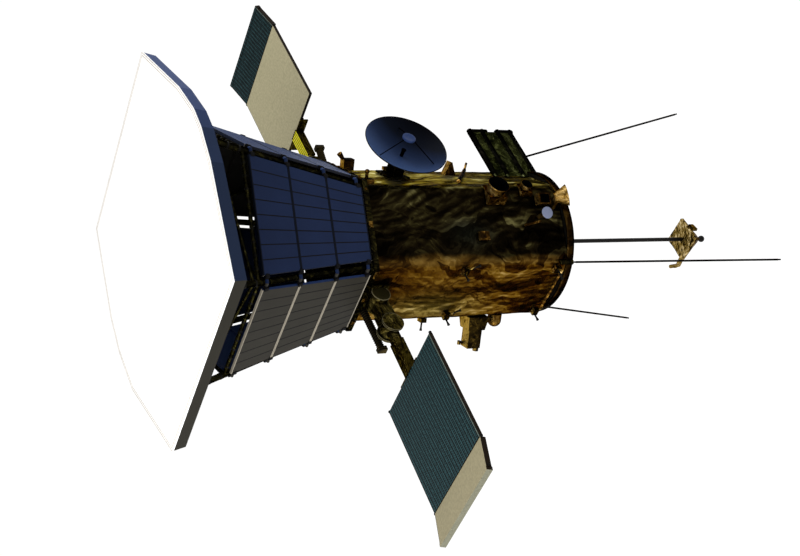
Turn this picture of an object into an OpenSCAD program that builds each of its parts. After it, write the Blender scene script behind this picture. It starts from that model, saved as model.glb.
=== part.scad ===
// Solar probe spacecraft with a heat shield, a ring of flared radiators on a
// truss, a six-sided blanket-wrapped body, two folding solar wings, a turning
// dish, a hinged tail boom and three rod antennas.
// Origin at the centre of the launch adapter's lower face, +Z to the shield.

/* [Body] */
// Distance from the axis to a flat side of the body
bus_apothem = 495; // [480:1:510]
// Radius that rounds off the body's six upright corners
bus_corner_r = 562; // [555:1:568]
// Height of the body's top deck above the adapter's lower face
bus_top = 1650; // [1600:1:1680]
// Height of the band over which the lower end closes in to the ring
bus_taper_h = 60; // [40:1:90]

/* [Adapter ring] */
// Outer radius of the launch adapter ring
ring_r = 532; // [525:1:538]
// Height of the adapter ring
ring_h = 57; // [45:1:70]
// Width of the lower bolting flange
ring_flange_w = 66; // [60:1:80]
// Thickness of the ring's flanges
ring_flange_t = 12; // [8:1:16]
// Thickness of the ring's upright wall
ring_wall = 20; // [14:1:24]
// Radius of the bolt circle
ring_bolt_circle_r = 488; // [484:1:492]
// Radius of each bolt hole
ring_bolt_r = 5.5; // [4:0.1:7]
// Number of bolt holes
ring_bolts = 12; // [8:4:24]

/* [Top deck] */
// Distance from the axis to a flat side of the top deck
deck_apothem = 540; // [530:1:546]
// Thickness of the top deck
deck_t = 40; // [30:1:50]

/* [Heat shield] */
// Radius of the circle that the shield's slanted sides touch
shield_r = 1128; // [1100:1:1140]
// How much further in the shield's rear outline lies than its front outline
shield_flare = 16; // [8:1:24]
// Height of the shield's lower face
shield_bottom = 2905; // [2890:1:2930]
// Thickness of the shield's dark core
shield_core_t = 86; // [70:1:100]
// Thickness of the pale coat on the front
shield_coat_t = 9; // [6:1:12]
// How far the pale coat stands out past the core
shield_coat_lip = 3; // [1:0.5:6]

/* [Truss] */
// Distance from the axis to a leg's foot
leg_foot_r = 566; // [560:1:572]
// Distance from the axis to a leg's head
leg_head_r = 960; // [940:1:975]
// Radius of a leg tube
leg_r = 22; // [18:1:24]
// Radius of the pads at both ends of a leg
leg_pad_r = 44; // [38:1:50]
// Thickness of the pads at both ends of a leg
leg_pad_t = 14; // [10:1:18]
// How far the lower pad sits in towards the axis from the leg's foot
leg_pad_inset = 6; // [0:1:8]
// Radius of a ring tube
ring_tube_r = 14; // [10:1:16]
// Radius of a diagonal tube
diagonal_r = 11; // [8:1:13]

/* [Radiators] */
// How far a radiator's outer face stands out past the legs at its lower edge
radiator_low_stand = 53; // [50:1:58]
// How far a radiator's outer face stands out past the legs at its upper edge
radiator_high_stand = 39; // [36:1:44]
// Height of a radiator's lower edge
radiator_low_z = 1710; // [1704:1:1720]
// Height of a radiator's upper edge
radiator_high_z = 2596; // [2570:1:2610]
// Distance from a radiator's side to the leg's centre line at its lower edge
radiator_low_margin = 31; // [28:1:36]
// Distance from a radiator's side to the leg's centre line at its upper edge
radiator_high_margin = 34; // [30:1:40]
// Thickness of a radiator's plate
radiator_plate_t = 15; // [10:1:18]
// Height of the cooling strips on the plate
radiator_strip_t = 4; // [2:0.5:6]
// Width of the line between two strips
radiator_line_w = 4; // [2:0.5:6]
// Width of the gap between two stacked plates
radiator_gap = 16; // [10:1:24]
// Number of strips side by side on one plate
radiator_strips = 8; // [6:1:10]
// Number of plates stacked in one radiator
radiator_plates = 3; // [2:1:4]

/* [Solar wings] */
// Height of a wing's sunward face
wing_z = 1584; // [1570:1:1600]
// Thickness of a wing's main panel
wing_t = 22; // [16:1:28]
// Distance from the axis to a wing panel's inner edge
wing_inner_x = 1206; // [1190:1:1220]
// Length of a wing's main panel
wing_main_l = 837; // [800:1:860]
// Width of a wing
wing_w = 800; // [760:1:820]
// Length of a wing's tilted outer section
wing_tip_l = 228; // [210:1:245]
// Thickness of a wing's tilted outer section
wing_tip_t = 34; // [26:1:40]
// Angle by which the outer section leans sunward
wing_tip_tilt = 14.6; // [10:0.1:18]
// Gap between a wing's main panel and its outer section
wing_fold_gap = 6; // [4:0.5:10]
// Width of the thick strip along a wing's outer edge
wing_edge_w = 26; // [16:1:32]
// Angle by which the wing on the -X side stands sunward of level
wing_rise_nx = 1.8; // [0:0.1:2.5]

/* [Wing shoulders] */
// Distance from the axis to the wing's fold hinge
flap_x = 800; // [785:1:815]
// Radius of the fold hinge's moving drum
flap_drum_r = 64; // [56:1:70]
// Half of the moving drum's length
flap_drum_half = 46; // [40:1:50]
// Radius of the fold hinge's pin
flap_pin_r = 18; // [14:1:22]
// Running gap round a hinge pin
pin_gap = 0.3; // [0.1:0.1:0.5]
// Gap beside a part that turns
side_gap = 6; // [5:0.5:8]
// Thickness of each fixed hinge ear
ear_t = 14; // [10:1:18]
// Radius of the wing arm's turning shaft
feather_shaft_r = 22; // [18:1:26]
// Radius of the collar round the turning shaft
feather_collar_r = 44; // [38:1:48]
// Distance from the axis to the outer end of the collar
feather_x = 905; // [895:1:915]
// Width of a wing arm
arm_w = 92; // [80:1:100]
// Height of a wing arm
arm_h = 66; // [56:1:72]

/* [Dish antenna] */
// Radius of the dish's rim
dish_r = 300; // [280:1:310]
// Distance from the dish's deepest point to its focus
dish_focus = 210; // [190:1:240]
// Thickness of the dish's shell
dish_t = 6; // [4:0.5:10]
// Place of the dish's centre along X
dish_x = -294; // [-310:1:-280]
// Distance of the dish's deepest point from the axis along Y
dish_vertex_y = 590; // [585:1:610]
// Height of the dish's centre
dish_z = 1254; // [1230:1:1270]
// Distance from the tilt axis to the dish's deepest point
dish_hub_l = 46; // [40:1:54]
// Radius of the small reflector in front of the dish
sub_r = 46; // [40:1:52]
// Distance of the small reflector from the dish's deepest point
sub_y = 158; // [140:1:180]

/* [Horn and disc sensors] */
// Length of the horn
horn_l = 85; // [75:1:95]
// Radius of the horn's mouth
horn_r = 80; // [70:1:86]
// Angle by which the horn leans outward from straight aft
horn_lean = 30; // [20:1:36]
// Direction in which the horn leans
horn_azimuth = 70; // [60:1:80]
// Radius of the round sensor plate
disc_r = 42; // [36:1:46]
// Distance of the round sensor plate from the body's side
disc_out = 122; // [100:1:130]

/* [Tail boom] */
// Length of the boom from its hinge to the sensor head
boom_l = 1419; // [1300:1:1450]
// Radius of the boom's tube
boom_r = 16; // [12:1:20]
// Height of the boom's hinge, below the adapter's lower face
boom_hinge_z = -46; // [-60:1:-40]
// Direction in which the boom folds sideways
boom_fold_azimuth = 210; // [200:1:220]
// Height of the sensor head's pyramid
head_h = 148; // [130:1:160]
// Side of the sensor head's square base
head_w = 236; // [210:1:250]

/* [Rod antennas] */
// Length of each rod
rod_l = 1800; // [1600:10:2000]
// Radius of each rod
rod_r = 6; // [4:0.5:8]

/* [Hidden] */
radiator_azimuths = [0, 60, 120, 180, 240, 300];
leg_azimuths = [30, 90, 150, 210, 270, 330];

$fn = 48;
// each side of the shield: the way it faces, and its distance beyond shield_r
shield_sides = [[0, -35], [70.5, 3], [79, -5], [90, -1], [103, -11], [111, -4],
                [180, -42], [251, 40], [262, 17], [275, 2], [292.5, 6]];
deck_top = bus_top + deck_t;
leg_foot_z = deck_top;
leg_head_z = shield_bottom;
ring_levels = [1740, 2630, 2868];
radiator_low_apothem = leg_radius(radiator_low_z) * cos(30) + radiator_low_stand;
radiator_high_apothem = leg_radius(radiator_high_z) * cos(30) + radiator_high_stand;
radiator_low_half_w = leg_radius(radiator_low_z) / 2 - radiator_low_margin;
radiator_high_half_w = leg_radius(radiator_high_z) / 2 - radiator_high_margin;
radiator_rise = radiator_high_z - radiator_low_z;
radiator_flare = atan((radiator_high_apothem - radiator_low_apothem) / radiator_rise);
radiator_l = radiator_rise / cos(radiator_flare);
radiator_plate_l = (radiator_l - (radiator_plates - 1) * radiator_gap) / radiator_plates;
arm_z = wing_z - wing_t - 2;
ear_inner = flap_drum_half + side_gap;
ear_outer = ear_inner + ear_t;
ear_r = flap_drum_r + 12;
seat = 0.3;
dish_axis_y = dish_vertex_y - dish_hub_l;
rod_roots = [[512, 296, 100], [-563, 319, 100], [0, -640, 80]];
rod_leans = [[42, 10.5], [147, 14], [251, 17.3]];
// sites of the thruster pairs: side, place along it, height, way of the cant
thruster_sites = [
  for (half = [0, 180]) for (site = [[0, 226, 926, 1], [0, -232, 900, 1], [0, -226, 130, 1],
                                     [0, 226, 150, -1], [120, 226, 1040, -1]])
    [site[0] + half, site[1], site[2], site[3]]];

// Point on a circle of radius r at azimuth a and height z
function polar(r, a, z) = [r * cos(a), r * sin(a), z];

// Distance of a leg's centre line from the axis at height z
function leg_radius(z) =
  leg_foot_r + (leg_head_r - leg_foot_r) * (z - leg_foot_z) / (leg_head_z - leg_foot_z);

// Half of a radiator's width at a distance v along its slope
function radiator_half(v) =
  radiator_low_half_w + (radiator_high_half_w - radiator_low_half_w) * v / radiator_l;

// Corner where two lines cross that face a and b at the distances p and q
function corner(a, p, b, q) = [
  (p * sin(b) - q * sin(a)) / sin(b - a), (q * cos(a) - p * cos(b)) / sin(b - a)];

// Corners of the shield's outline, with every side moved in by a distance
function shield_outline(inset) = [
  for (i = [0 : len(shield_sides) - 1])
    let (a = shield_sides[i], b = shield_sides[(i + 1) % len(shield_sides)])
    corner(a[0], shield_r + a[1] - inset, b[0], shield_r + b[1] - inset)];

// Round bar between two points
module bar(p, q, r) {
  d = q - p;
  l = norm(d);
  translate(p) rotate([0, acos(d[2] / l), atan2(d[1], d[0])]) cylinder(h = l, r = r);
}

// Regular hexagon whose flat sides face the radiators' azimuths
module hexagon(apothem) {
  circle(r = apothem / cos(30), $fn = 6);
}

// Moves the children on to a flat side of the body: X outward, Y along the side
module on_side(azimuth, along, z) {
  rotate([0, 0, azimuth]) translate([bus_apothem, along, z]) children();
}

// Block that starts at X = 0 and is centred on Y and Z
module block(x, y, z) {
  translate([0, -y / 2, -z / 2]) cube([x, y, z]);
}

// The body's own outline as a tall solid, used to trim what seats on it
module bus_envelope() {
  intersection() {
    linear_extrude(bus_top) rotate(30) hexagon(bus_apothem);
    cylinder(h = bus_top, r = bus_corner_r, $fn = 96);
  }
}

// Thick core whose sides lean in a little towards the rear
module heat_shield_core() {
  skin = 1;
  color("#1f2a4a") translate([0, 0, shield_bottom]) hull() {
    linear_extrude(skin) polygon(shield_outline(shield_coat_lip + shield_flare));
    translate([0, 0, shield_core_t - skin]) linear_extrude(skin)
      polygon(shield_outline(shield_coat_lip));
  }
}

module heat_shield_coat() {
  color("#f6f6f4") translate([0, 0, shield_bottom + shield_core_t])
    linear_extrude(shield_coat_t) polygon(shield_outline(0));
}

// Centre line of a leg as a bar that runs past both of the leg's ends
module leg_line(azimuth, r) {
  rotate([0, 0, azimuth])
    bar(polar(leg_radius(leg_foot_z - 60), 0, leg_foot_z - 60),
        polar(leg_radius(leg_head_z + 60), 0, leg_head_z + 60), r);
}

module truss_legs() {
  color("#4a4630") for (a = leg_azimuths) rotate([0, 0, a]) {
    intersection() {
      leg_line(0, leg_r);
      translate([leg_foot_r - 200, -100, leg_foot_z + leg_pad_t / 2])
        cube([leg_head_r - leg_foot_r + 400, 200, leg_head_z - leg_foot_z - leg_pad_t]);
    }
    translate([leg_foot_r - leg_pad_inset, 0, leg_foot_z]) cylinder(h = leg_pad_t, r = leg_pad_r);
    translate([leg_head_r, 0, leg_head_z - leg_pad_t]) cylinder(h = leg_pad_t, r = leg_pad_r);
  }
}

module truss_rings() {
  color("#3c3a2c") difference() {
    for (z = ring_levels) for (a = leg_azimuths)
      bar(polar(leg_radius(z), a, z), polar(leg_radius(z), a + 60, z), ring_tube_r);
    for (a = leg_azimuths) leg_line(a, leg_r + seat);
  }
}

module truss_diagonals() {
  color("#55523c") difference() {
    for (i = [0 : 5]) {
      a = leg_azimuths[i];
      up = i % 2 == 0;
      low = up ? a : a + 60;
      high = up ? a + 60 : a;
      bar(polar(leg_radius(ring_levels[1] + 40), low, ring_levels[1] + 40),
          polar(leg_radius(ring_levels[2] - 40), high, ring_levels[2] - 40), diagonal_r);
      bar(polar(leg_radius(ring_levels[0] + 45), low, ring_levels[0] + 45),
          polar(leg_radius(ring_levels[1] - 45), high, ring_levels[1] - 45), diagonal_r);
    }
    for (a = leg_azimuths) leg_line(a, leg_r + seat);
  }
}

// One radiator lying in its own slope: X outward, Y across, Z up the slope
module radiator_plate(v0, v1) {
  rotate([90, 0, 90]) {
    translate([0, 0, -radiator_plate_t - radiator_strip_t]) linear_extrude(radiator_plate_t)
      polygon([[-radiator_half(v0), v0], [radiator_half(v0), v0],
               [radiator_half(v1), v1], [-radiator_half(v1), v1]]);
    // strips side by side, all narrowing towards the lower edge
    translate([0, 0, -radiator_strip_t - 0.01]) linear_extrude(radiator_strip_t + 0.01)
      for (i = [0 : radiator_strips - 1]) {
        f0 = -1 + 2 * i / radiator_strips;
        f1 = -1 + 2 * (i + 1) / radiator_strips;
        g = radiator_line_w / 2;
        polygon([[f0 * radiator_half(v0) + g, v0 + g], [f1 * radiator_half(v0) - g, v0 + g],
                 [f1 * radiator_half(v1) - g, v1 - g], [f0 * radiator_half(v1) + g, v1 - g]]);
      }
  }
}

module radiator(azimuth) {
  pitch = radiator_plate_l + radiator_gap;
  color("#27345c") difference() {
    rotate([0, 0, azimuth])
      translate([radiator_low_apothem, 0, radiator_low_z]) rotate([0, radiator_flare, 0]) {
        for (i = [0 : radiator_plates - 1])
          radiator_plate(i * pitch, i * pitch + radiator_plate_l);
        // joining tubes behind the gaps, with tabs that reach the legs
        for (i = [0 : radiator_plates]) {
          v = i == 0 ? 24 : i == radiator_plates ? radiator_l - 24 : i * pitch - radiator_gap / 2;
          half = radiator_half(v) + 60;
          translate([-radiator_plate_t - radiator_strip_t + 4, -half, v]) rotate([-90, 0, 0])
            cylinder(h = 2 * half, r = 12);
        }
      }
    for (a = [azimuth - 30, azimuth + 30]) leg_line(a, leg_r + seat);
    // the tabs end on the legs and go no further round the corner
    for (s = [-1, 1]) rotate([0, 0, azimuth + s * 30])
      translate([0, s > 0 ? -0.5 : -399.5, radiator_low_z - 100]) cube([1200, 400, radiator_rise + 200]);
  }
}

module bus_body() {
  color("#5c4a1e") intersection() {
    bus_envelope();
    translate([0, 0, ring_h]) {
      cylinder(h = bus_taper_h, r1 = ring_r, r2 = bus_corner_r + 12, $fn = 96);
      translate([0, 0, bus_taper_h]) cylinder(h = bus_top, r = bus_corner_r + 12, $fn = 96);
    }
  }
}

module adapter_ring() {
  color("#3a3a3c") difference() {
    rotate_extrude($fn = 96) {
      translate([ring_r - ring_flange_w, 0]) square([ring_flange_w, ring_flange_t]);
      translate([ring_r - ring_wall, 0]) square([ring_wall, ring_h]);
      translate([ring_r - ring_flange_w, ring_h - ring_flange_t]) square([ring_flange_w, ring_flange_t]);
    }
    for (i = [0 : ring_bolts - 1])
      translate(polar(ring_bolt_circle_r, i * 360 / ring_bolts, -1))
        cylinder(h = ring_flange_t + 2, r = ring_bolt_r, $fn = 32);
  }
}

module top_deck() {
  color("#2c2a20") translate([0, 0, bus_top]) linear_extrude(deck_t) rotate(30)
    hexagon(deck_apothem);
}

module coolant_manifold() {
  color("#4d4a38") {
    translate([0, 0, deck_top + 20]) rotate_extrude($fn = 96) translate([452, 0]) circle(r = 14);
    for (a = radiator_azimuths) rotate([0, 0, a]) {
      translate([380, -60, deck_top + seat]) cube([84, 120, 30]);
      translate([300, -36, deck_top + seat]) cube([90, 72, 64]);
    }
  }
}

// One shoulder: root plate, drum with a round cap, beam and two hinge ears
module shoulder() {
  difference() {
    union() {
      translate([bus_apothem, 0, arm_z]) block(14, 210, 150);
      translate([bus_apothem + 54, -72, arm_z]) rotate([-90, 0, 0]) cylinder(h = 152, r = 66);
      // beam that narrows towards the hinge
      translate([0, 50, arm_z]) rotate([90, 0, 0]) linear_extrude(100)
        polygon([[bus_apothem + 10, -60], [flap_x - ear_r - 12, -36],
                 [flap_x - ear_r - 12, 36], [bus_apothem + 10, 60]]);
      for (s = [-1, 1]) {
        y0 = s > 0 ? ear_inner : -ear_outer;
        translate([flap_x, y0, arm_z]) rotate([-90, 0, 0]) cylinder(h = ear_t, r = ear_r);
        translate([flap_x - ear_r - 70, y0, arm_z - 44]) cube([ear_r + 70, ear_t, 88]);
      }
      translate([flap_x - ear_r - 70, -ear_outer, arm_z - 40]) cube([58, 2 * ear_outer, 80]);
    }
    bus_envelope();
    translate([flap_x, -ear_outer - 1, arm_z]) rotate([-90, 0, 0])
      cylinder(h = 2 * ear_outer + 2, r = flap_pin_r + pin_gap);
    translate([flap_x, -ear_inner, arm_z]) rotate([-90, 0, 0])
      cylinder(h = 2 * ear_inner, r = flap_drum_r + side_gap);
  }
}

module shoulder_px() {
  color("#4a4426") shoulder();
}

module shoulder_nx() {
  color("#4a4426") rotate([0, 0, 180]) shoulder();
}

// Bellows hose that carries coolant from the deck out beside the hinge
module coolant_line() {
  p = [bus_apothem - 20, -148, arm_z + 40];
  q = [flap_x + 34, -176, arm_z + 16];
  d = q - p;
  l = norm(d);
  difference() {
    translate(p) rotate([0, acos(d[2] / l), atan2(d[1], d[0])]) rotate_extrude()
      polygon(concat([[0, 0]],
        [for (i = [0 : 40]) [22 + 6 * (i % 2), l * i / 40]], [[0, l]]));
    bus_envelope();
  }
  translate([flap_x + 20, -200, arm_z - 20]) cube([34, 44, 66]);
  translate([flap_x - 62, -172, arm_z - 8]) cube([34, 172 - ear_outer, 36]);
}

module coolant_line_px() {
  color("#57502e") coolant_line();
}

module coolant_line_nx() {
  color("#57502e") rotate([0, 0, 180]) coolant_line();
}

// Puts a wing piece on the -X side, turned sunward about its fold hinge
module on_nx_wing() {
  translate([-flap_x, 0, arm_z]) rotate([0, -wing_rise_nx, 180]) translate([-flap_x, 0, -arm_z])
    children();
}

// Moving link between the fold hinge and the collar of the turning arm
module flap_link() {
  difference() {
    union() {
      translate([flap_x, -flap_drum_half, arm_z]) rotate([-90, 0, 0])
        cylinder(h = 2 * flap_drum_half, r = flap_drum_r);
      translate([flap_x, -ear_outer - 6, arm_z]) rotate([-90, 0, 0])
        cylinder(h = 2 * ear_outer + 12, r = flap_pin_r);
      translate([flap_x, 0, arm_z]) rotate([0, 90, 0])
        cylinder(h = feather_x - flap_x, r = feather_collar_r);
    }
    translate([feather_x - 30, 0, arm_z]) rotate([0, 90, 0])
      cylinder(h = 31, r = feather_shaft_r + pin_gap);
  }
}

module flap_link_px() {
  color("#6b6130") flap_link();
}

module flap_link_nx() {
  color("#6b6130") on_nx_wing() flap_link();
}

// Arm with lengthwise grooves, and a bracket under the panel's inner edge
module wing_arm() {
  root_x = feather_x + side_gap;
  groove = 7;
  translate([feather_x - 28, 0, arm_z]) rotate([0, 90, 0]) cylinder(h = 40, r = feather_shaft_r);
  translate([root_x, 0, arm_z]) rotate([0, 90, 0]) cylinder(h = 20, r = feather_collar_r);
  translate([root_x + 14, 0, arm_z]) rotate([90, 0, 90]) linear_extrude(wing_inner_x - seat - root_x - 14)
    difference() {
      square([arm_w, arm_h], center = true);
      for (x = [-30, -10, 10, 30]) for (s = [-1, 1])
        translate([x, s * arm_h / 2]) square([groove, 2 * groove], center = true);
    }
  under = wing_z - wing_t - seat;
  translate([wing_inner_x - 10 - seat, -150, under - 44]) cube([10, 300, 66]);
  translate([wing_inner_x - 10, -150, under - 12]) cube([96, 300, 12]);
  for (y = [-100, 88]) translate([wing_inner_x - 10, y, 0]) rotate([90, 0, 0])
    translate([0, under, -12]) linear_extrude(12) polygon([[0, -44], [90, -10], [90, -6], [0, -6]]);
}

module wing_arm_px() {
  color("#8a7b34") wing_arm();
}

module wing_arm_nx() {
  color("#8a7b34") on_nx_wing() wing_arm();
}

module wing_main() {
  translate([wing_inner_x, -wing_w / 2, wing_z - wing_t]) cube([wing_main_l, wing_w, wing_t]);
}

module wing_main_px() {
  color("#234048") wing_main();
}

module wing_main_nx() {
  color("#a59a7c") on_nx_wing() wing_main();
}

// Outer section, leaning sunward, with hinge plates under the main panel
module wing_tip() {
  fold_x = wing_inner_x + wing_main_l + wing_fold_gap;
  translate([fold_x, 0, wing_z]) rotate([0, -wing_tip_tilt, 0]) {
    translate([0, -wing_w / 2, -wing_tip_t]) cube([wing_tip_l, wing_w, wing_tip_t]);
    translate([wing_tip_l - 4, -wing_w / 2, -wing_tip_t - 4])
      cube([wing_edge_w, wing_w, wing_tip_t + 6]);
  }
  under = wing_z - wing_t - seat;
  for (y = [-340, -20, 300]) translate([0, y, under]) rotate([-90, 0, 0]) linear_extrude(40)
    polygon([[fold_x - 70, 0], [fold_x + 60, 0], [fold_x + 60, 8], [fold_x - 70, 12]]);
}

module wing_tip_px() {
  color("#a59a7c") wing_tip();
}

module wing_tip_nx() {
  color("#234048") on_nx_wing() wing_tip();
}

// Moves the children to the dish's own frame: Z along the line it looks
module dish_frame() {
  translate([dish_x, dish_vertex_y, dish_z]) rotate([-90, 0, 0]) children();
}

module dish_reflector() {
  steps = 16;
  inner = [for (i = [0 : steps]) let (r = dish_r * i / steps) [r, r * r / (4 * dish_focus)]];
  outer = [for (i = [steps : -1 : 0]) let (r = dish_r * i / steps) [r, r * r / (4 * dish_focus) - dish_t]];
  color("#1d2c56") dish_frame() rotate_extrude($fn = 96) polygon(concat(inner, outer));
}

module dish_hub() {
  color("#2b2a24") difference() {
    union() {
      translate([dish_x, dish_axis_y, dish_z]) {
        translate([-38, 0, 0]) rotate([0, 90, 0]) cylinder(h = 76, r = 26);
        translate([-62, 0, 0]) rotate([0, 90, 0]) cylinder(h = 124, r = 10);
        rotate([-90, 0, 0]) cylinder(h = dish_hub_l, r = 36);
      }
    }
    dish_frame() rotate_extrude() polygon(concat(
      [for (i = [0 : 8]) let (r = 60 * i / 8) [r, r * r / (4 * dish_focus) - dish_t]],
      [[60, 80], [0, 80]]));
  }
}

module dish_feed() {
  foot_r = 236;
  foot_z = foot_r * foot_r / (4 * dish_focus);
  color("#20202a") difference() {
    dish_frame() {
      cylinder(h = 46, r = 13);
      translate([0, 0, 40]) cylinder(h = 16, r1 = 13, r2 = 18);
      translate([0, 0, sub_y]) cylinder(h = 10, r = sub_r);
      for (a = [72, 192, 312])
        bar([foot_r * cos(a), -foot_r * sin(a), foot_z - 3], [sub_r * 0.8 * cos(a), -sub_r * 0.8 * sin(a), sub_y + 3], 3.5);
    }
    dish_frame() rotate_extrude($fn = 96) polygon(concat(
      [for (i = [0 : 16]) let (r = dish_r * i / 16) [r, r * r / (4 * dish_focus) + seat]],
      [[dish_r, -20], [0, -20]]));
  }
}

// Two upright ears on a plate, cut to the slope of the body's side
module dish_bracket() {
  color("#3c3820") difference() {
    union() {
      for (s = [-1, 1]) translate([dish_x + s * 50 - 6, 0, dish_z]) {
        rotate([0, 90, 0]) translate([0, dish_axis_y, 0]) cylinder(h = 12, r = 24);
        translate([0, 300, -40]) cube([12, dish_axis_y - 320, 80]);
        translate([0, 300, -24]) cube([12, dish_axis_y - 300, 48]);
      }
      on_side(120, 55, dish_z) block(14, 250, 150);
    }
    bus_envelope();
    translate([dish_x - 80, dish_axis_y, dish_z]) rotate([0, 90, 0]) cylinder(h = 160, r = 10 + pin_gap);
  }
}

// Box on the corner of the body with a round hood that looks along +Y
module star_tracker(x, z, box_w, box_h, top_y, hood_r, hood_l) {
  difference() {
    union() {
      translate([x - box_w / 2, 430, z - box_h / 2]) cube([box_w, top_y - 430, box_h]);
      translate([x, top_y, z]) rotate([-90, 0, 0]) cylinder(h = hood_l, r1 = hood_r * 0.8, r2 = hood_r);
    }
    translate([x, top_y + 12, z]) rotate([-90, 0, 0]) cylinder(h = hood_l, r1 = hood_r * 0.8 - 6, r2 = hood_r - 5);
    bus_envelope();
  }
}

module star_tracker_upper() {
  color("#8a6a2c") star_tracker(52, 618, 140, 150, 566, 78, 74);
}

module star_tracker_lower() {
  color("#8a6a2c") star_tracker(20, 350, 96, 96, 572, 42, 40);
}

// Flat wrapped unit that stands out past the side, with four lengthwise ribs and
// two rolls across its outer end that leave a notch between them
module ribbed_unit() {
  y0 = 354;
  y1 = 389;
  outer_x = -838;
  color("#23261c") difference() {
    union() {
      translate([outer_x + 10, y0, -8]) cube([600, y1 - y0, 370]);
      for (z = [-4, 108, 250, 358])
        translate([outer_x - 6, y1 - 6, z]) rotate([0, 90, 0]) cylinder(h = 616, r = 15);
      for (z = [-34, 200]) translate([outer_x, (y0 + y1) / 2, z]) {
        cylinder(h = z < 0 ? 140 : 157, r = 24);
        translate([-20, -17, 0]) cube([40, 34, z < 0 ? 140 : 157]);
      }
    }
    bus_envelope();
    // room for the adapter ring, which is wider than the body's flat sides
    translate([0, 0, -ring_h]) cylinder(h = 2 * ring_h + 2, r = ring_r + 2, $fn = 96);
  }
}

module sensor_box() {
  color("#1e1c18") on_side(60, 178, 224) difference() {
    block(58, 84, 100);
    translate([20, 0, 0]) block(60, 66, 80);
  }
}

// Flared horn that looks aft and outward, on a bracket at the body's corner
module horn_antenna() {
  root = [136, 585, 144];
  throat_r = 36;
  color("#9a7430") {
    translate(root) rotate([0, 180 - horn_lean, horn_azimuth]) {
      difference() {
        cylinder(h = horn_l, r1 = throat_r, r2 = horn_r);
        translate([0, 0, 6]) cylinder(h = horn_l, r1 = throat_r - 3, r2 = horn_r);
      }
      translate([0, 0, -10]) cylinder(h = 10.5, r = throat_r);
    }
    difference() {
      translate([root[0] - 20, 460, root[2] - 26]) cube([40, root[1] - 460, 28]);
      bus_envelope();
    }
  }
}

// Round white sensor plate on a flared stem
module disc_sensor() {
  color("#d8d8e0") on_side(60, 51, 268) rotate([0, 90, 0]) {
    cylinder(h = disc_out - 11, r1 = 14, r2 = 22);
    translate([0, 0, disc_out - 11.5]) cylinder(h = 14, r = disc_r);
  }
}

// Instrument that hangs from the side: wide tapering upper part, narrow lower
// part, and two small knobs at its end
module hanging_instrument() {
  wide_out = 106;
  narrow_out = 250;
  color("#8a6a2c") on_side(300, 205, 585) {
    hull() {
      block(1, 156, 174);
      translate([wide_out - 1, 0, 0]) block(1, 124, 140);
    }
    translate([wide_out - seat, 0, 0]) block(narrow_out - wide_out + seat, 96, 110);
    translate([narrow_out - 1, 26, -32]) rotate([0, 90, 0]) cylinder(h = 26, r = 22);
    translate([narrow_out - 26, -30, 50]) cylinder(h = 40, r = 11);
    translate([narrow_out - 26, -30, 84]) rotate([0, 90, 0]) translate([0, 0, -14])
      cylinder(h = 28, r = 13);
  }
}

module domed_instrument() {
  color("#9a7a34") on_side(300, 205, 402) rotate([0, 90, 0]) {
    cylinder(h = 48, r = 52);
    translate([0, 0, 48]) intersection() {
      sphere(r = 52);
      cylinder(h = 60, r = 60);
    }
  }
}

// Small rocket motor: a slim barrel with a flared bell at its end
module motor(l) {
  cylinder(h = l - 22, r = 6.5);
  translate([0, 0, l - 22.5]) cylinder(h = 22.5, r1 = 6.5, r2 = 11);
}

// Bracket with one motor that points outward and one canted along the side
module thruster_pair(turn) {
  block(30, 58, 46);
  translate([22, turn * -12, 8]) rotate([0, 90, 0]) motor(70);
  translate([18, turn * 14, -10]) rotate([turn * 45, 0, 0]) rotate([0, 168, 0]) motor(98);
}

module thrusters() {
  color("#6d5526") for (side = thruster_sites)
    on_side(side[0], side[1], side[2]) thruster_pair(side[3]);
}

module side_brackets() {
  color("#3a3420") {
    // fin beside the dish
    on_side(120, 110, 762) rotate([90, 0, 0]) translate([0, 0, -30]) linear_extrude(60)
      polygon([[0, -46], [96, -10], [100, 6], [0, 46]]);
    // diagonal bar across the side, and the stub at its end
    on_side(120, 0, 0) bar([14.3, -190, 850], [14.3, 205, 566], 14);
    on_side(120, 0, 0) bar([14.3, 205, 566], [64, 232, 540], 9);
    // knob on a neck near the top deck
    on_side(120, -201, 1582) {
      block(30, 72, 60);
      translate([28, 11, 10]) rotate([0, 90, 0]) cylinder(h = 50, r = 12);
      translate([78, 11, 10]) sphere(r = 17);
    }
    // block with a small motor at the far corner
    on_side(120, 246, 1530) {
      block(82, 62, 84);
      translate([70, 0, 30]) rotate([0, 50, 0]) cylinder(h = 62, r1 = 12, r2 = 20);
    }
    on_side(120, 262, 1208) block(24, 26, 44);
    on_side(60, -88, 765) block(26, 64, 78);
    on_side(60, 4, 327) rotate([11.7, 0, 0]) block(14, 16, 150);
  }
}

module rod_canisters() {
  color("#2a2820") for (i = [0 : 2]) {
    root = rod_roots[i];
    a = atan2(root[1], root[0]);
    difference() {
      union() {
        translate(root) rotate([0, 180 - rod_leans[i][1], rod_leans[i][0]])
          translate([0, 0, -50]) cylinder(h = 100, r = 18);
        translate([0, 0, root[2]]) rotate([0, 0, a]) translate([500, -16, -8]) cube([norm([root[0], root[1]]) - 500, 32, 36]);
      }
      bus_envelope();
    }
  }
}

module rod_antennas() {
  color("#2a1a14") for (i = [0 : 2])
    translate(rod_roots[i]) rotate([0, 180 - rod_leans[i][1], rod_leans[i][0]])
      translate([0, 0, 50]) cylinder(h = rod_l - 50, r = rod_r, $fn = 24);
}

// Moves the children to the boom's own frame: Z down the boom, X to its fold
module boom_frame() {
  translate([0, 0, boom_hinge_z]) rotate([0, 0, boom_fold_azimuth]) children();
}

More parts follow.
